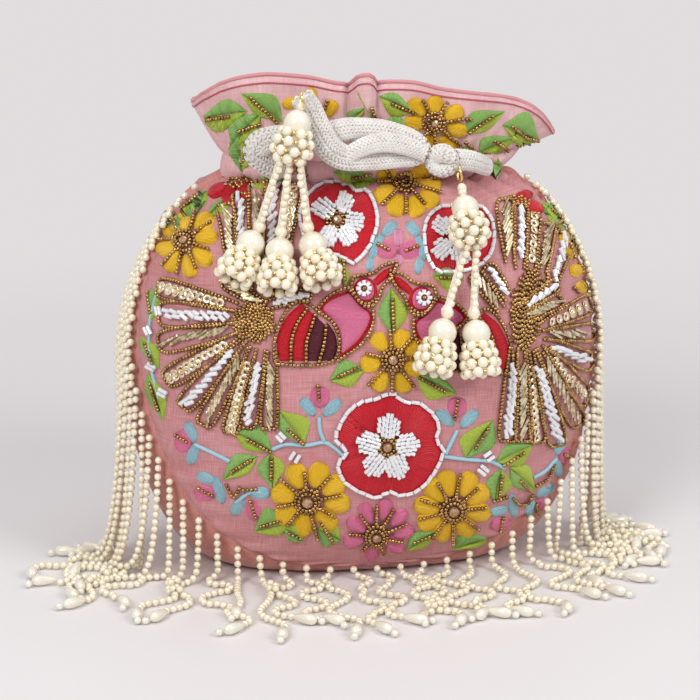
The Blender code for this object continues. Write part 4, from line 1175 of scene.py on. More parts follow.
SHOULDER_HEART = (186, 242)
SHOULDER_PETALS = [(186, 220), (205, 221), (208, 237), (204, 258), (190, 268), (173, 263),
                   (167, 248), (171, 231)]
SHOULDER_RAYS = [(174, 218), (197, 212), (212, 224), (209, 250), (197, 268), (179, 273), (165, 264),
                 (160, 241)]
NECK_HEART = (405, 183)
NECK_PETALS = [(386, 175), (383, 195), (396, 208), (416, 209), (431, 200), (432, 185), (420, 174)]
NECK_RAYS = [(381, 168), (378, 185), (382, 206), (405, 214), (424, 205), (440, 194), (434, 175)]
PINK_HEART = (376, 535)
PINK_PETALS = [(355, 524), (366, 511), (385, 507), (400, 516), (405, 531), (352, 540), (395, 545),
               (372, 551)]
PINK_RAYS = [(360, 514), (376, 504), (393, 508), (406, 522), (401, 540), (349, 532), (362, 548),
             (384, 552)]

marigold(MIDDLE_HEART, MIDDLE_PETALS, 11, 9, MIDDLE_RAYS)
marigold(LOW_LEFT_HEART, LOW_LEFT_PETALS, 13.5, 10.5, LOW_LEFT_RAYS, 0.0026)
marigold(LOW_RIGHT_HEART, LOW_RIGHT_PETALS, 13.5, 10, LOW_RIGHT_RAYS, 0.0026)
marigold(SHOULDER_HEART, SHOULDER_PETALS, 12, 8.5, SHOULDER_RAYS)
marigold(NECK_HEART, NECK_PETALS, 11, 9, NECK_RAYS)
marigold(PINK_HEART, PINK_PETALS, 11, 8, PINK_RAYS, 0.0022, "pink")
print("Worked 3 poppies and 6 marigolds")
EDGE_PETALS = [(566, 238), (573, 252), (577, 270), (583, 287)]
for spot in EDGE_PETALS:
    satin_oval(SATIN["yellow"], spot, (-1, 0.3), 8, 7)
EDGE_BEADS = [[(578, 243), (584, 252)], [(581, 262), (586, 272)], [(572, 288), (577, 293)]]
for dash in EDGE_BEADS:
    bead_line(dash, lift=0.0012)

# %% [markdown]
# ## The two peacocks
# Each bird has a pink neck edged in red, a wing in red and maroon stripes, and a fan of feathers. A
# feather is a long loop of gold beads filled with bugles or sequins. The right bird mirrors the left,
# a little lower.

# %% Birds
WING_BACK = [(302, 303), (288, 315), (279, 333), (277, 348), (280, 361)]
WING_FIRST = [(307, 309), (298, 322), (292, 339), (291, 361)]
WING_SECOND = [(315, 315), (311, 328), (306.6, 342), (306, 361)]
WING_THIRD = [(326, 326), (324, 343), (319, 361)]
WING_FRONT = [(327, 322), (335, 334), (337, 347), (334, 360)]
WING_OUTLINE = [(275, 361), (275, 340), (284, 315), (297, 301), (308, 303), (320, 313), (332, 322),
                (339, 338), (336, 357), (322, 364), (300, 365), (283, 364)]
NECK_BACK = [(349, 293), (332, 299), (322, 308), (331, 319), (339, 331), (341, 353)]
NECK_FRONT = [(350, 293), (359, 305), (370, 314), (369, 324), (358, 341), (342, 354)]
NECK_BEADS = [[(319, 307), (328, 297), (340, 290), (348, 288)],
              [(350, 291), (357, 299), (364, 306), (372, 306)],
              [(373, 311), (372, 326), (361, 344), (338, 360)]]
HEAD_MIDDLE, EYE_MIDDLE = (365, 290), (363, 289)
CREST_TOP, CREST_FOOT = [(373, 280), (384, 270), (394, 266)], [(377, 286), (388, 277), (394, 266)]
CREST_BEADS = [
    [(351, 284), (354, 277), (364, 275.5), (374, 273), (383, 266), (396, 262)],
    [(396, 266), (391, 277), (382, 288), (378, 299), (373, 305)],
]
HEAD_BEADS = [(352, 290), (358, 300), (367, 304), (375, 299)]


def moved(line, mirror, drop):
    """A line as it is, or mirrored about an upright line of the picture and lowered."""
    if mirror is None:
        return line
    return [(2 * mirror - x, y + drop) for x, y in line]


def peacock(mirror=None, drop=0.0):
    stripes = [(WING_BACK, WING_FIRST, "red"), (WING_FIRST, WING_SECOND, "red"),
               (WING_SECOND, WING_THIRD, "maroon"), (WING_THIRD, WING_FRONT, "maroon")]
    for back, front, colour in stripes:
        satin(SATIN[colour], moved(back, mirror, drop), moved(front, mirror, drop), lift=0.0009)
    for divider in (WING_FIRST, WING_SECOND, WING_THIRD):
        bead_line(moved(divider, mirror, drop), lift=0.0009)
    bead_line(moved(WING_OUTLINE, mirror, drop), lift=0.0008, closed=True)
    back, front = moved(NECK_BACK, mirror, drop), moved(NECK_FRONT, mirror, drop)
    middle = np.mean(back + front, axis=0)
    satin(SATIN["red"], [middle + (np.array(p) - middle) * 1.10 for p in back],
          [middle + (np.array(p) - middle) * 1.10 for p in front], lift=0.0004)
    satin(SATIN["pink"], back, front, lift=0.0010)
    for line in NECK_BEADS + CREST_BEADS + [HEAD_BEADS]:
        bead_line(moved(line, mirror, drop), lift=0.0010)
    satin(SATIN["red"], moved(CREST_TOP, mirror, drop), moved(CREST_FOOT, mirror, drop), lift=0.0008)
    head, eye = moved([HEAD_MIDDLE, EYE_MIDDLE], mirror, drop)
    satin_oval(SATIN["red"], head, (0, 1), 12.5, 12.5, lift=0.0005)
    satin_oval(SATIN["pink"], head, (0, 1), 10.5, 10.5, lift=0.0009)
    for x, y in picture_oval(eye, 5.4, 5.4, count=8)[:-1]:
        lay_tube(BEADS["white"], (x, y), (x - eye[0], y - eye[1]), 4.6, 0.0008, 0.0018)
    bead_line([eye, (eye[0] + 0.5, eye[1])], lift=0.0019)


peacock()
peacock(mirror=393.0, drop=9.0)


# %% Feathers
ROOT_HALF = 4.2


def feather(root, tip, half, fill):
    """A loop of beads from the hub round the tip and back, with its filling."""
    root, tip = np.asarray(root, float), np.asarray(tip, float)
    way = (tip - root) / np.linalg.norm(tip - root)
    side = np.array((-way[1], way[0]))
    length = np.linalg.norm(tip - root)
    loop = []
    for sign in (-1, 1):
        ends = [root + side * sign * ROOT_HALF, root + way * length * 0.45 + side * sign * half * 0.88,
                tip - way * half * 0.55 + side * sign * half]
        loop += ends if sign < 0 else [tip] + ends[::-1]
    bead_line(loop, lift=0.0008)
    inner = half - 3.6
    start, stop = 0.20 * length, length - half * 0.45
    sloped = 1 if tip[0] < PICTURE_SIDE / 2 else -1
    if fill == "white":
        for k, s in enumerate(np.arange(start, stop, 3.7)):
            room = max(3.0, inner * min(1.0, 0.45 + 0.75 * s / length))
            shift = side * room * (0.30 * (-1) ** k + DICE.uniform(-0.22, 0.22))
            lean = turned_way(way, 24 * sloped + DICE.uniform(-18, 18))
            lay_tube(BEADS["white"], root + way * s + shift, lean,
                     7.6 * DICE.uniform(0.85, 1.15), 0.00088, 0.0012 + 0.0008 * (k % 2))
    elif fill == "gold":
        heap = BEADS["bugle_left"] if sloped > 0 else BEADS["bugle_right"]
        for s in np.arange(start, stop, 4.3):
            shift = side * DICE.uniform(-0.25, 0.25) * inner
            lean = turned_way(way, -26 * sloped + DICE.uniform(-5, 5))
            lay_tube(heap, root + way * s + shift, lean, 15 * DICE.uniform(0.85, 1.1), 0.00058, 0.0014)
    else:
        first, last = root + way * start, root + way * stop
        bulge = side * inner * 0.25
        sequin_row([first, (first + last) / 2 + bulge, last + bulge])
        if half > 7.5:
            sequin_row([(first + last) / 2 - bulge, last - bulge])


LEFT_HUB, RIGHT_HUB = (254, 322), (527, 309)
LEFT_FEATHERS = [
    ((236, 307), (159, 287), 9, "sequin"), ((244, 317), (160, 314), 12, "white"),
    ((240, 327), (160, 343), 11, "gold"), ((238, 337), (167, 380), 10, "sequin"),
    ((243, 339), (184, 406), 9, "white"), ((247, 345), (204, 424), 8.5, "gold"),
    ((252, 349), (230, 432), 8, "sequin"), ((261, 350), (246, 427), 9, "white"),
    ((272, 352), (269, 428), 8, "gold"), ((264, 306), (224, 280), 7, "gold"),
    ((238, 290), (226, 206), 8, "gold"), ((247, 288), (240, 196), 7, "white"),
    ((257, 288), (257, 184), 7.5, "gold"), ((267, 290), (275, 182), 8, "white"),
    ((277, 292), (293, 186), 8, "sequin"), ((268, 305), (311, 293), 6, "white"),
]
RIGHT_FEATHERS = [
    ((509, 262), (504, 200), 8, "gold"), ((519, 268), (519, 205), 8, "white"),
    ((530, 270), (533, 214), 6.5, "sequin"), ((541, 272), (547, 224), 7.5, "gold"),
    ((549, 290), (565, 232), 9, "white"), ((508, 298), (486, 266), 7, "white"),
    ((500, 309), (473, 274), 7, "gold"), ((521, 308), (556, 284), 6.5, "white"),
    ((526, 318), (560, 299), 6.5, "gold"), ((540, 327), (594, 301), 8.5, "sequin"),
    ((543, 335), (594, 332), 8, "gold"), ((543, 342), (592, 364), 9, "white"),
    ((545, 350), (588, 402), 9, "sequin"), ((538, 348), (578, 425), 8.5, "gold"),
    ((532, 350), (557, 444), 9, "white"), ((528, 352), (537, 441), 7.5, "sequin"),
    ((521, 350), (522, 440), 8, "gold"), ((513, 348), (506, 440), 8, "white"),
]


def hub(middle, half_x, half_y, turn):
    """Beads packed in a spiral that fills an oval."""
    count = int(half_x * half_y / 3.4)
    for k in range(count):
        reach, angle = math.sqrt((k + 0.5) / count), k * math.pi * (3 - math.sqrt(5))
        x, y = half_x * reach * math.cos(angle), half_y * reach * math.sin(angle)
        spot = np.asarray(middle) + turned_way((x, y), turn)
        place, normal = seat(*spot, 0.0009)
        way = Vector([DICE.uniform(-1, 1) for _ in range(3)])
        way -= normal * way.dot(normal)
        place_copy(gold_heap(spot[0]), BEAD, place, way, (BEAD_RADIUS,) * 3, up=normal)


for root, tip, half, fill in LEFT_FEATHERS + RIGHT_FEATHERS:
    feather(root, tip, half, fill)
hub(LEFT_HUB, 21, 20, 0)
hub(RIGHT_HUB, 17, 40, 8)
print("Feathers:", len(LEFT_FEATHERS) + len(RIGHT_FEATHERS))

# %% [markdown]
# ## Leaves, stems and buds
# Every leaf is worked in two greens with a rib of beads lying in the slit between them. Thin blue
# stems carry buds with two blue petals round a pink one.

# %% Leaves of the front and of the frill
FRONT_LEAVES = [
    ((378, 313), (408, 313), (390.5, 287), (392, 335), [(392, 300), (393, 330)]),
    ((343, 360), (351, 387), (329, 380.5), (365, 369), [(338, 376), (358, 367)]),
    ((440, 375), (428, 399), (457, 394), (415, 375), [(419, 377), (444, 391)]),
    ((446, 266), (452, 294), (432, 276), (464, 278), [(440, 278), (456, 279)]),
    ((281, 432), (309, 420), (279, 410), (304, 445), [(288, 429), (303, 443)]),
    ((262, 428), (246, 450), (234, 431), (273, 452), [(248, 439), (270, 451)]),
    ((234, 455), (248, 474), (222, 480), (258, 456), [(232, 471), (251, 459)]),
    ((257, 468), (285, 466), (273, 490), (270, 453), [(272, 457), (271, 478)]),
    ((266, 508), (278, 536), (254, 531), (293, 522), [(261, 525), (281, 519)]),
    ((289, 541), (299, 525), (283, 526), (304, 541), [(289, 532), (300, 537)]),
    ((324, 547), (336, 523), (317, 528), (341, 540), [(320, 520), (333, 541)]),
    ((494, 446), (461, 437), (493, 419), (465, 458), [(475, 447), (487, 428)]),
    ((509, 443), (521, 466), (533, 444), (495, 462), [(503, 464), (522, 452)]),
    ((486, 482), (512, 485), (494, 502), (501, 468), [(501, 475), (498, 496)]),
    ((514, 487), (529, 466), (535, 490), (509, 467), [(519, 480), (529, 490)]),
    ((186, 195), (203, 207), (209, 191), (177, 213), [(184, 209), (199, 196)]),
    ((214, 203), (226, 211), (232, 196), (206, 218), None),
    ((165, 221), (176, 228), (178, 213), (163, 234), [(168, 227), (175, 219)]),
    ((563, 209), (553, 227), (541, 202), (577, 232), [(550, 211), (568, 226)]),
    ((147, 297), (160, 305), (160, 284), (150, 325), [(150, 292), (152, 314)]),
    ((143, 352), (158, 347), (140, 336), (160, 369), [(147, 345), (154, 362)]),
    ((146, 395), (166, 394), (148, 373), (164, 421), [(152, 384), (160, 410)]),
    ((413, 533), (426, 547), (406, 550), (437, 530), [(414, 541), (429, 535)]),
    ((462, 531), (478, 547), (452, 549), (488, 538), None),
    ((352, 167), (356, 189), (333, 172), (377, 180), [(351, 177), (371, 174)]),
    ((263, 176), (272, 190), (250, 187), (284, 176), [(256, 184), (276, 180)]),
    ((341, 262), (350, 275), (338, 254), (344, 288), [(343, 262), (344, 280)]),
]
FRILL_LEAVES = [
    ((226, 99), (219, 133), (201, 118), (248, 111), [(207, 119), (229, 116)]),
    ((275, 96), (256, 115), (241, 93), (283, 122), [(251, 97), (263, 109), (279, 125)]),
    ((231, 120), (256, 138), (262, 112), (230, 146), [(239, 131), (259, 124)]),
    ((228, 150), (252, 160), (240, 134), (241, 172), [(246, 150), (242, 165)]),
    ((359, 96), (366, 110), (357, 90), (374, 124), [(370, 108), (377, 126)]),
    ((348, 112), (362, 116), (349, 124), (364, 108), None),
    ((396, 93), (392, 117), (379, 96), (414, 112), [(392, 103), (414, 113)]),
    ((398, 116), (409, 130), (380, 124), (421, 136), [(389, 124), (414, 130)]),
    ((472, 112), (487, 131), (463, 134), (505, 111), [(470, 132), (491, 115)]),
    ((528, 112), (523, 152), (502, 125), (540, 143), [(512, 126), (525, 136), (537, 139)]),
    ((484, 137), (501, 153), (478, 152), (517, 136), [(494, 140), (507, 149)]),
    ((472, 147), (465, 163), (458, 149), (482, 168), [(466, 142), (476, 152)]),
    ((503, 167), (492, 171), (498, 158), (496, 180), [(489, 160), (484, 170)]),
    ((396, 140), (412, 150), (388, 152), (418, 138), None),
]
for green_side, lime_side, tip, base, rib in FRONT_LEAVES + FRILL_LEAVES:
    leaf(green_side, lime_side, tip, base, rib)

FRILL_LEFT_PETALS = [((291, 103), (-1, 0.3), 9, 6), ((310.5, 99), (0.1, -1), 12, 7),
                     ((330, 109), (0.6, -0.8), 10, 7)]
FRILL_RIGHT_HEART = (433, 122)
FRILL_RIGHT_PETALS = [(416, 106), (435, 105), (455, 113), (458, 130), (449, 146), (430, 144),
                      (413, 124)]
FRILL_RIGHT_RAYS = [(423, 100), (446, 102), (468, 118), (461, 146), (437, 151), (420, 138)]
for spot, way, half_long, half_wide in FRILL_LEFT_PETALS:
    satin_oval(SATIN["yellow"], spot, way, half_long, half_wide)
bead_line([(327, 100), (324, 109), (320, 118)], lift=0.0012)
bead_line([(302, 98), (308, 104), (311, 111)], lift=0.0012)
marigold(FRILL_RIGHT_HEART, FRILL_RIGHT_PETALS, 11, 8.5, FRILL_RIGHT_RAYS, 0.0020)

# %% Stems, buds and loose accents
BLUE_STEMS = [
    [(272, 449), (286, 444), (306, 445), (324, 442), (335, 448), (343, 455)],
    [(324, 441), (320, 430), (319, 417)], [(457, 430), (452, 440), (445, 454)],
    [(443, 456), (466, 459), (490, 461), (504, 468)],
    [(158, 292), (151, 320), (150, 345), (153, 372), (160, 398)],
    [(236, 502), (250, 492), (262, 492)], [(195, 444), (212, 452), (230, 461)],
    [(533, 477), (545, 470), (556, 458)],
]
BLUE_PETALS = [
    ((308, 407), (-0.75, -1), 11, 6), ((332, 408), (0.9, -0.8), 12, 6),
    ((445, 418), (-0.9, -0.8), 11.5, 6), ((469, 419), (0.9, -0.9), 12, 6),
    ((191, 432), (-0.4, -1), 11, 5.5), ((193, 454), (-0.3, 1), 11, 5.5),
    ((206, 478), (-1, -0.35), 10, 5.5), ((219, 490), (0.3, 1), 14, 5.5), ((238, 506), (-0.6, 1), 10, 6),
    ((260, 493), (1, 0), 10, 6.5), ((498, 511), (1, -0.3), 10, 5), ((513, 505), (0.1, 1), 12, 5),
    ((545, 491), (0.9, -0.6), 11, 5), ((530, 508), (-0.4, 1), 9, 4.5), ((560, 446), (0.5, -1), 10, 5),
    ((558, 468), (0.1, 1), 9, 4.5),
    ((389, 229), (0.9, -1), 10, 5.5), ((376, 247), (0.45, -1), 14, 5), ((370, 264), (-0.1, 1), 8, 4),
    ((413, 229), (-0.8, -1), 9, 5.5), ((421, 248), (-0.3, -1), 13, 5), ((419, 266), (0.25, -1), 9, 4.5),
]
PINK_BUDS = [
    ((320, 397), (0, -1), 10.5, 10), ((457, 407), (0, -1), 10, 10), ((184, 441), (-1, -0.1), 9, 12),
    ((205, 493), (-1, -0.1), 11, 8.5), ((253, 510), (0.2, 1), 10, 7.5), ((500, 524), (1, -0.2), 10, 7.5),
    ((543, 503), (1, -0.3), 9, 6.5), ((564, 455), (1, 0.1), 6, 9),
    ((387, 250), (-1, -0.25), 11, 9), ((409, 250), (1, -0.25), 11, 9),
]
LILAC_PETALS = [((398, 238), (0, -1), 9, 5.5), ((399, 260), (0, 1), 6, 5)]
ACCENT_BEADS = [[(318, 385), (319, 399)], [(457, 400), (454, 418)], [(177, 434), (188, 441)],
                [(200, 487), (213, 494)], [(251, 500), (256, 516)],
                [(227, 484), (234, 496), (240, 487)], [(244, 489), (256, 488)],
                [(493, 500), (505, 496)], [(512, 497), (518, 503), (526, 502), (531, 494)],
                [(534, 503), (537, 513)], [(378, 245), (388, 250)], [(342, 166), (360, 166)],
                [(406, 251), (417, 247)], [(535, 485), (545, 479)], [(499, 531), (502, 517)],
                [(562, 454), (569, 457)], [(552, 464), (548, 474)]]
WHITE_ACCENTS = [((281, 436), (1, 1)), ((295, 456), (-1, 1.6)), ((488, 455), (1.4, -1)),
                 ((482, 469), (1.2, 1)), ((150, 330), (0.5, 1)), ((153, 366), (1, 0.6)),
                 ((160, 312), (0.2, 1)), ((164, 392), (1, 0.5))]
SHOULDER_REDS = [((218, 190), (-0.8, 0.5)), ((229, 195), (-0.4, 1)), ((243, 190), (0.4, 1)),
                 ((533, 207), (1, 0.6)), ((522, 198), (0.8, -0.4)), ((285, 190), (0.3, 1))]
for line in BLUE_STEMS:
    stem(line)
for colour, petals in (("pink", PINK_BUDS), ("lilac", LILAC_PETALS), ("blue", BLUE_PETALS)):
    for spot, way, half_long, half_wide in petals:
        satin_oval(SATIN[colour], spot, way, half_long, half_wide, lift=0.0008)
for line in ACCENT_BEADS:
    bead_line(line, lift=0.0012)
for spot, way in WHITE_ACCENTS:
    for side in (-1, 1):
        beside = np.array(spot) + side * np.array((way[1], -way[0])) * 1.6
        lay_tube(BEADS["white"], beside, way, 9, 0.0008, 0.0012)
for spot, way in SHOULDER_REDS:
    satin_oval(SATIN["red"], spot, way, 11, 7)
hub((238, 182), 13, 6, -20)
hub((300, 172), 9, 5, 10)
hub((519, 202), 11, 6, 25)

# %% Turn the heaps into pieces
FLOWERS = ["flower_neck", "flower_middle", "flower_low_left", "flower_low_right", "flower_shoulder_left",
           "flower_edge_right"]
GREEN_LEAVES = ["leaf_between_heads", "leaf_middle_left", "leaf_middle_right", "leaf_column_top",
                "leaf_column_middle", "leaf_column_low", "leaf_trio_left", "leaf_trio_right"]
SATIN["red"].make("satin_red", RED_FLOSS, slot="red_thread",
                  replaces=["poppy_centre", "poppy_left", "poppy_right", "wing_left", "wing_right"])
SATIN["maroon"].make("satin_maroon", MAROON_FLOSS, slot="red_thread")
SATIN["yellow"].make("satin_yellow", YELLOW_FLOSS, slot="yellow_thread", replaces=FLOWERS)
SATIN["green"].make("satin_green", GREEN_FLOSS, slot="green_thread", replaces=GREEN_LEAVES)
SATIN["lime"].make("satin_lime", LIME_FLOSS, slot="green_thread")
SATIN["pink"].make("satin_pink", PINK_FLOSS, slot="pink_thread",
                   replaces=["neck_left", "neck_right", "flower_bottom"])
SATIN["lilac"].make("satin_lilac", LILAC_FLOSS, slot="lilac_thread", replaces=["bud_pair"])
SATIN["blue"].make("satin_blue", BLUE_FLOSS)
BEADS["gold_left"].make("gold_beads_left", GOLD_BEAD, slot="gold_beads", replaces=["tail_left"])
BEADS["gold_right"].make("gold_beads_right", GOLD_BEAD, slot="gold_beads", replaces=["tail_right"])
BEADS["white"].make("white_bugles", WHITE_BEAD, smooth=False)
BEADS["bugle_left"].make("gold_bugles_left", GOLD_BUGLE, slot="gold_beads", smooth=False)
BEADS["bugle_right"].make("gold_bugles_right", GOLD_BUGLE, slot="gold_beads", smooth=False)
BEADS["sequin"].make("sequins", SEQUIN, slot="gold_beads")
BEADS["stone"].make("stones", TOPAZ, smooth=False)

# %% [markdown]
# ## The pearl fringe
# Forty-seven strands of small pearls hang from the front seam, and the lower ones lie on the floor in
# loose zigzags. That shape comes from weight, so it is settled here. Every pearl is a point that falls,
# keeps its distance along the thread, stays out of the bag and the floor, and pushes other pearls
# away. The thread only bends a little at each pearl, which keeps the zigzags rounded.

# %% Start of each strand
STRAND_COUNT, STRAND_PEARLS, SHORTEST = 47, 37, 22
PEARL_RADIUS, PEARL_PITCH = 0.0015, 0.00292
DROP_LENGTH, DROP_RADIUS = 0.0100, 0.0022
HIGHEST_HANG_Y, LOWEST_HANG_Y = 0.026, -0.040
FLOOR_REACH, FLOOR_LEFT, FLOOR_RIGHT = 0.46, 0.20, 0.10
HEIGHTS = np.linspace(0, BODY_HEIGHT, 160)
HALF_WIDTHS = np.array([half_sizes(z)[0] for z in HEIGHTS])
HALF_DEPTHS = np.array([half_sizes(z)[1] for z in HEIGHTS])


def seam_place(share):
    """Point of the seam and its skin direction; share runs -1 to 1 from left neck to right."""
    point = skin_along(abs(share) * NECK_ANGLE * 0.97, seam_y)
    normal = body_normal(point)
    if share < 0:
        point.x, normal.x = -point.x, -normal.x
    return point, normal


LEAN_FROM, LEFT_LEAN, RIGHT_LEAN = 0.095, 0.27, 0.22


def spare_nodes(height):
    """The lowest strands are shorter: this many of their nodes stay unused at the seam."""
    return round((STRAND_PEARLS - SHORTEST) * (1 - ease(0.01, 0.09, height)))


def strand_start(point, normal):
    """First guess of a strand: over the gusset, down, then outward along the floor."""
    side = math.copysign(1, point.x)
    on_side = min(max((point.z - 0.018) / 0.03, 0.0), 1.0)
    height_share = max((point.z - 0.018) / (BODY_HEIGHT - 0.018), 0.0)
    hang_y = LOWEST_HANG_Y + (HIGHEST_HANG_Y - LOWEST_HANG_Y) * height_share + DICE.uniform(-3, 3) * MM
    spread = FLOOR_LEFT if side < 0 else FLOOR_RIGHT
    outward = (LEFT_LEAN if side < 0 else RIGHT_LEAN) * DICE.uniform(0.55, 1.15)
    way = Vector((spread * (side * on_side + point.x / 0.13), -1.0 + 0.55 * on_side, 0)).normalized()
    across = Vector((-way.y, way.x, 0))
    phase, wavelength = DICE.uniform(0, math.tau), DICE.uniform(26, 40) * MM
    amplitude = DICE.uniform(3.5, 6.5) * MM
    here, route, reach, on_floor = point + normal * 0.0020, [], abs(point.x) * 0.9, 0.0
    layer, sway = DICE.choice((0.0, 3.2)) * MM, DICE.uniform(-0.3, 0.3)
    for _ in range(spare_nodes(point.z)):
        route.append(here.copy())
    while len(route) < STRAND_PEARLS + 3:
        route.append(here.copy())
        if here.z <= PEARL_RADIUS + layer + 0.001:
            on_floor += PEARL_PITCH
            bend = math.cos(math.tau * on_floor / wavelength + phase)
            swing = bend * math.tau * amplitude / wavelength
            here = here + (way * FLOOR_REACH + across * 0.62 * swing).normalized() * PEARL_PITCH
            here.z = PEARL_RADIUS + layer + DICE.uniform(0, 0.3) * MM
        elif on_side > 0:
            z = max(here.z - PEARL_PITCH * 0.95, PEARL_RADIUS)
            share = ease(0.0, 0.06, point.z - z)
            y = point.y + (hang_y - point.y) * share
            w, d = half_sizes(z)
            lean = 0.0 if z > LEAN_FROM else outward * PEARL_PITCH
            reach = max(reach, oval_depth(y, d, w) + 0.0032) + lean
            here = Vector((side * reach, y, z))
        else:
            here = here + Vector((sway, -0.62, -0.76)) * PEARL_PITCH
            here.z = max(here.z, PEARL_RADIUS)
    return route


def start_fringe():
    samples = [seam_place(s)[0] for s in np.linspace(-1, 1, 401)]
    lengths = np.concatenate(([0], np.cumsum([(b - a).length for a, b in zip(samples, samples[1:])])))
    starts = []
    for i in range(STRAND_COUNT):
        share = np.interp((i + 0.5) / STRAND_COUNT * lengths[-1], lengths, np.linspace(-1, 1, 401))
        starts.append([tuple(p) for p in strand_start(*seam_place(float(share)))])
    return np.array(starts)


# %% Let the fringe settle
STEPS, PASSES, GRAVITY_STEP, DAMPING, FRICTION = 220, 5, 0.00011, 0.82, 0.3
PAIR_REACH, STRAIGHTNESS = 0.0060, 0.945
NODE_RADII = np.array([PEARL_RADIUS] * (STRAND_PEARLS + 1) + [DROP_RADIUS, PEARL_RADIUS])
LINKS = np.array([PEARL_PITCH] * STRAND_PEARLS + [DROP_LENGTH / 2 + PEARL_RADIUS] * 2)


def links_of(points):
    """Thread length between neighbours; none between the unused nodes at the seam."""
    used = np.linalg.norm(points[:, 1:] - points[:, :-1], axis=2) > 1e-6
    return np.where(used, LINKS[None, :], 0.0)


def push_out(points):
    """Keeps every node off the bag and above the floor; floor contact holds by friction."""
    clear = NODE_RADII[None, :] + 0.0010
    w = np.interp(points[..., 2], HEIGHTS, HALF_WIDTHS)
    d = np.interp(points[..., 2], HEIGHTS, HALF_DEPTHS)
    inside = ((np.abs(points[..., 0]) / w) ** PLAN_ROUNDNESS
              + (np.abs(points[..., 1]) / d) ** PLAN_ROUNDNESS)
    inside = np.maximum(inside, 1e-6) ** (1 / PLAN_ROUNDNESS)
    flat = np.linalg.norm(points[..., :2], axis=2)
    gap = flat * (1 - 1 / inside)
    push = np.where((gap < clear) & (points[..., 2] < BODY_HEIGHT), clear - gap, 0.0)
    points[..., :2] *= (1 + push / np.maximum(flat, 1e-6))[..., None]
    points[..., 2] = np.maximum(points[..., 2], NODE_RADII[None, :] + 0.0003)


def close_pairs(points, reach):
    """Pairs of nodes within a reach of each other, compared in blocks."""
    flat = points.reshape(-1, 3)
    found = []
    for start in range(0, len(flat), 400):
        block = flat[start:start + 400]
        near = np.abs(block[:, None, 0] - flat[None, :, 0]) < reach
        near &= np.abs(block[:, None, 1] - flat[None, :, 1]) < reach
        near &= np.abs(block[:, None, 2] - flat[None, :, 2]) < reach
        a, b = np.nonzero(near)
        a += start
        keep = a + 2 < b
        found.append(np.stack([a[keep], b[keep]]))
    return np.concatenate(found, axis=1)


def settle(points):
    points = points.copy()
    before, start, links = points.copy(), points.copy(), links_of(points)
    held = np.concatenate([np.ones((len(points), 1), bool), links <= 0], axis=1)
    radii = np.where(held, 0.0, NODE_RADII[None, :]).ravel()
    for step in range(STEPS):
        moved_by = (points - before) * DAMPING
        touching = points[..., 2] < NODE_RADII[None, :] + 0.0006
        moved_by[touching] *= FRICTION
        before = points.copy()
        points = points + np.clip(moved_by, -0.002, 0.002)
        points[..., 2] -= GRAVITY_STEP
        if step % 8 == 0:
            pairs = close_pairs(points, PAIR_REACH)
        for _ in range(PASSES):
            for odd in (0, 1):
                a, b = points[:, odd:-1:2], points[:, odd + 1::2]
                gap = b - a
                far = np.linalg.norm(gap, axis=2, keepdims=True)
                fix = gap * (0.5 * (far - links[:, odd::2, None]) / np.maximum(far, 1e-7))
                a += fix
                b -= fix
            gap = points[:, 2:] - points[:, :-2]
            far = np.linalg.norm(gap, axis=2, keepdims=True)
            least = STRAIGHTNESS * (links[:, 1:] + links[:, :-1])[..., None]
            fix = gap * (0.25 * np.minimum(far - least, 0) / np.maximum(far, 1e-7))
            points[:, 2:] -= fix
            points[:, :-2] += fix
            flat = points.reshape(-1, 3)
            gap = flat[pairs[1]] - flat[pairs[0]]
            far = np.linalg.norm(gap, axis=1)
            short = np.minimum(far - (radii[pairs[0]] + radii[pairs[1]] - 0.0001), 0)
            fix = gap * (0.5 * short / np.maximum(far, 1e-7))[:, None]
            np.add.at(flat, pairs[0], fix)
            np.add.at(flat, pairs[1], -fix)
            push_out(points)
            points[held] = start[held]
    return points


settled = settle(start_fringe())
print("Settled", settled.shape[0], "strands of", settled.shape[1], "nodes; widest x",
      round(float(abs(settled[..., 0]).max()) / MM), "mm, front y",
      round(float(settled[..., 1].min()) / MM), "mm")

# %% String the pearls
DROP = turned_template([(-0.5, 0.10), (-0.46, 0.30), (-0.36, 0.52), (-0.20, 0.74), (0.0, 0.92),
                        (0.18, 1.0), (0.32, 0.94), (0.43, 0.70), (0.49, 0.36), (0.5, 0.12)], 14)
PEARL_BEAD = turned_template([(-0.97, 0.24), (-0.74, 0.68), (-0.28, 0.96), (0.28, 0.96),
                              (0.74, 0.68), (0.97, 0.24)], 9)


def string_fringe():
    pearls, drops = Heap(), Heap()
    for strand in settled:
        first = int((np.linalg.norm(strand[1:] - strand[:-1], axis=1) > 1e-6).argmax())
        strand = strand[first:]
        for i, place in enumerate(strand[:-2]):
            way = strand[min(i + 1, len(strand) - 1)] - strand[max(i - 1, 0)]
            size = PEARL_RADIUS * DICE.uniform(0.94, 1.03)
            place_copy(pearls, PEARL_BEAD, place, way, (size, size, size * 0.97))
        way = strand[-1] - strand[-3]
        place_copy(drops, DROP, strand[-2], way, (DROP_RADIUS, DROP_RADIUS, DROP_LENGTH))
        place_copy(drops, PEARL_BEAD, strand[-1], way, (PEARL_RADIUS,) * 3)
    pearls.make("fringe_pearls", PEARL, slot="pearl", replaces=["pearl_fringe"])
    drops.make("fringe_drops", DROP_PEARL, slot="pearl")


string_fringe()

# %% [markdown]
# ## The tassels
# Each tassel hangs from a gold ring. Pearls are netted with fine gold beads into a cluster and bells,
# so they are laid in staggered rows round a barrel. The places come from the solid tassel's own
# boxes, and every pearl rides the tassel's body, so that it swings with its hinge.

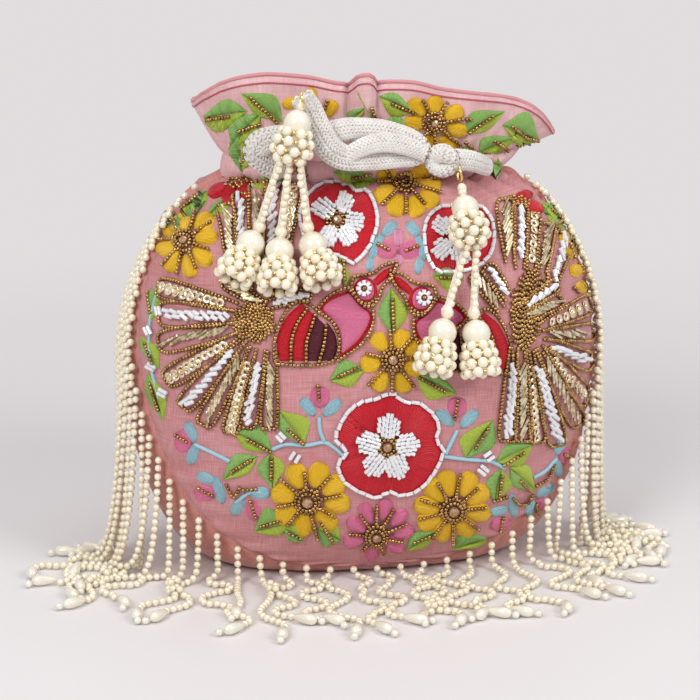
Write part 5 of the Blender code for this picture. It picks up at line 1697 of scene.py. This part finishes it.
# %% Net the pearls
NET_PEARL, NET_GOLD, STRING_PITCH = 0.0021, 0.0007, 0.0029
CAP_RADIUS, LARGE_RADIUS, COLLAR_RADIUS = 0.0053, 0.0055, 0.0026
TOP_RADIUS, LINK_RADIUS, WIRE_RADIUS = 0.0018, 0.0019, 0.0005


def middle_of(name):
    low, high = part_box(name)
    return (Vector(low) + Vector(high)) / 2


def netted(pearls, gold, top, way, rows):
    """Staggered rows of pearls round an axis, from (depth, radius, count), with gold beads between."""
    way = way.normalized()
    side = way.orthogonal().normalized()
    up = way.cross(side)
    for r, (depth, radius, count) in enumerate(rows):
        for k in range(count):
            for heap, step, out, size in ((pearls, 0.0, 1.0, NET_PEARL), (gold, 0.5, 1.04, NET_GOLD)):
                turn = (k + step + 0.5 * (r % 2)) * math.tau / count + DICE.uniform(-0.06, 0.06)
                reach = radius * out * DICE.uniform(0.96, 1.04)
                place = top + way * depth + reach * (math.cos(turn) * side + math.sin(turn) * up)
                template = PEARL_BALL if heap is pearls else BEAD
                place_copy(heap, template, place, way, (size * DICE.uniform(0.95, 1.04),) * 3)


def string_between(pearls, start, end):
    count = max(2, round((end - start).length / STRING_PITCH))
    for k in range(count + 1):
        sway = 0.0004 * math.sin(k * 1.7)
        place = start.lerp(end, k / count) + Vector((sway, -abs(sway), 0))
        place_copy(pearls, PEARL_BEAD, place, end - start, (PEARL_RADIUS,) * 3)


CLUSTER_ROWS = [(0.0008, 0.0050, 6), (0.0042, 0.0064, 8), (0.0078, 0.0066, 8), (0.0108, 0.0048, 6)]
BELL_ROWS = [(0.0012, 0.0046, 6), (0.0044, 0.0058, 8), (0.0080, 0.0064, 9), (0.0113, 0.0060, 8)]


def make_tassel(side, drops, link):
    body, prefix = f"tassel_{side}", f"tassel_{side}_"
    pearls, big, gold, core = Heap(), Heap(), Heap(), Heap()
    names = [prefix + part for part in ("ring", "cap_pearl", "cluster")]
    ring, cap, cluster = (middle_of(name) for name in names)
    turns = np.linspace(0, math.tau, 25)
    around = [(0.0004 * math.sin(2 * t), 0.0026 * math.cos(t), 0.0029 * math.sin(t)) for t in turns]
    wire = np.array([tuple(ring + Vector(p)) for p in around])
    add_tube(gold, wire, [WIRE_RADIUS] * len(wire), 8)
    hang = (cluster - cap).normalized()
    place_copy(big, BIG_BALL, cap, hang, (CAP_RADIUS,) * 3)
    place_copy(pearls, PEARL_BALL, cap - hang * 0.0066, hang, (TOP_RADIUS,) * 3)
    if link:
        names.append(prefix + "link_pearl")
        place_copy(pearls, PEARL_BALL, middle_of(prefix + "link_pearl"), hang, (LINK_RADIUS,) * 3)
    netted(pearls, gold, cluster - hang * 0.0058, hang, CLUSTER_ROWS)
    place_copy(core, PEARL_BALL, cluster, hang, (0.0048, 0.0048, 0.0050))
    for i in range(1, drops + 1):
        part = f"{prefix}drop{i}_"
        names += [part + "string", part + "pearl", part + "bell"]
        large, bell = middle_of(part + "pearl"), middle_of(part + "bell")
        way = (bell - large).normalized()
        collar = large - way * 0.0078
        start = cluster + hang * 0.0062 + Vector(((i - (drops + 1) / 2) * 0.0036, -0.001, 0))
        string_between(pearls, start, collar - (collar - start).normalized() * 0.0036)
        place_copy(pearls, PEARL_BALL, collar, way, (COLLAR_RADIUS,) * 3)
        place_copy(big, BIG_BALL, large, way, (LARGE_RADIUS,) * 3)
        netted(pearls, gold, large + way * 0.0036, way, BELL_ROWS)
        place_copy(core, PEARL_BALL, bell, way, (0.0046, 0.0046, 0.0056))
    pearls.make(f"{prefix}net", PEARL, body=body, slot="pearl",
                replaces=[n for n in names
                          if not n.endswith(("ring", "_pearl")) or n.endswith("link_pearl")])
    big.make(f"{prefix}large_pearls", BIG_PEARL, body=body, slot="pearl",
             replaces=[n for n in names if n.endswith("_pearl") and not n.endswith("link_pearl")])
    gold.make(f"{prefix}ring_and_gold", GOLD_WIRE, body=body, slot="gold_wire",
              replaces=[prefix + "ring"])
    core.make(f"{prefix}cores", PEARL, body=body, slot="pearl")


make_tassel("left", 3, False)
make_tassel("right", 2, True)

# %% [markdown]
# ## Studio
# The bag stands on a wide pale floor with no wall, so it can be looked at from every side. Away
# from the bag the floor fades into a plain pale tone that lights nothing and is only seen. Two
# broad soft lamps in front make the paired highlights on the pearls, a third from above lights the
# floor behind the bag, and a weak even sky fills the shadows.

# %% Floor, sky and lamps
FLOOR_HALF = 6.0
FADE_FROM, FADE_TO = 0.15, 0.60
FAR_TONE = (0.752, 0.723, 0.730, 1)
SKY, SEEN_SKY = 0.30, 0.75


def seen_directly(tree):
    """One for the rays that show a background: the camera's and those off metal or through glass."""
    path = add_node(tree, "ShaderNodeLightPath").outputs
    glossy = number(tree, "MAXIMUM", path["Is Camera Ray"], path["Is Glossy Ray"])
    return number(tree, "MAXIMUM", glossy, path["Is Transmission Ray"])


def make_floor():
    mesh = bpy.data.meshes.new("paper_floor")
    corners = [(x * FLOOR_HALF, y * FLOOR_HALF, 0) for x, y in ((-1, -1), (1, -1), (1, 1), (-1, 1))]
    mesh.from_pydata(corners, [], [(0, 1, 2, 3)])
    material, tree, shader = shader_of("paper", {"Roughness": 0.45, "Specular IOR Level": 0.25})
    grain = add_node(tree, "ShaderNodeTexNoise", {"Scale": 3.0, "Detail": 2.0})
    tint = mixed_colour(tree, grain.outputs[0], (0.835, 0.81, 0.82, 1), (0.81, 0.785, 0.795, 1))
    tree.links.new(tint, shader.inputs["Base Color"])
    place = add_node(tree, "ShaderNodeTexCoord").outputs["Object"]
    reach = add_node(tree, "ShaderNodeVectorMath", {0: place}, operation="LENGTH")
    fade = add_node(tree, "ShaderNodeMapRange",
                    {"Value": reach.outputs["Value"], "From Min": FADE_FROM, "From Max": FADE_TO},
                    interpolation_type="SMOOTHSTEP")
    share = number(tree, "MULTIPLY", fade.outputs[0], seen_directly(tree))
    glow = add_node(tree, "ShaderNodeEmission", {"Color": FAR_TONE, "Strength": 1.0})
    both = add_node(tree, "ShaderNodeMixShader", {0: share, 1: shader.outputs[0], 2: glow.outputs[0]})
    tree.links.new(both.outputs[0], tree.nodes["Material Output"].inputs["Surface"])
    mesh.materials.append(material)
    floor = bpy.data.objects.new("paper_floor", mesh)
    bpy.context.scene.collection.objects.link(floor)


def make_lamp(name, place, size, power, aim=(0, 0, 0.09)):
    data = bpy.data.lights.new(name, "AREA")
    data.shape, data.size, data.size_y, data.energy = "RECTANGLE", size[0], size[1], power
    lamp = bpy.data.objects.new(name, data)
    lamp.location = place
    lamp.rotation_euler = (Vector(aim) - Vector(place)).to_track_quat("-Z", "Y").to_euler()
    bpy.context.scene.collection.objects.link(lamp)


def make_world():
    world = bpy.data.worlds.new("studio")
    world.use_nodes = True
    tree = world.node_tree
    sky = tree.nodes["Background"]
    sky.inputs["Color"].default_value = (0.985, 0.968, 0.975, 1)
    strength = add_node(tree, "ShaderNodeMapRange",
                        {"Value": seen_directly(tree), "To Min": SKY, "To Max": SEEN_SKY})
    tree.links.new(strength.outputs[0], sky.inputs["Strength"])
    bpy.context.scene.world = world


make_floor()
make_world()
make_lamp("soft_left", (-0.75, -0.95, 0.95), (0.55, 0.55), 10)
make_lamp("soft_right", (0.80, -0.85, 0.90), (0.55, 0.55), 7.5)
make_lamp("back_wash", (0.0, 0.05, 1.25), (1.2, 0.6), 4, aim=(0, 0.2, 0))
bpy.context.scene.view_settings.view_transform = "Standard"
print(len(bpy.data.lights), "lamps and a floor", 2 * FLOOR_HALF, "m wide")
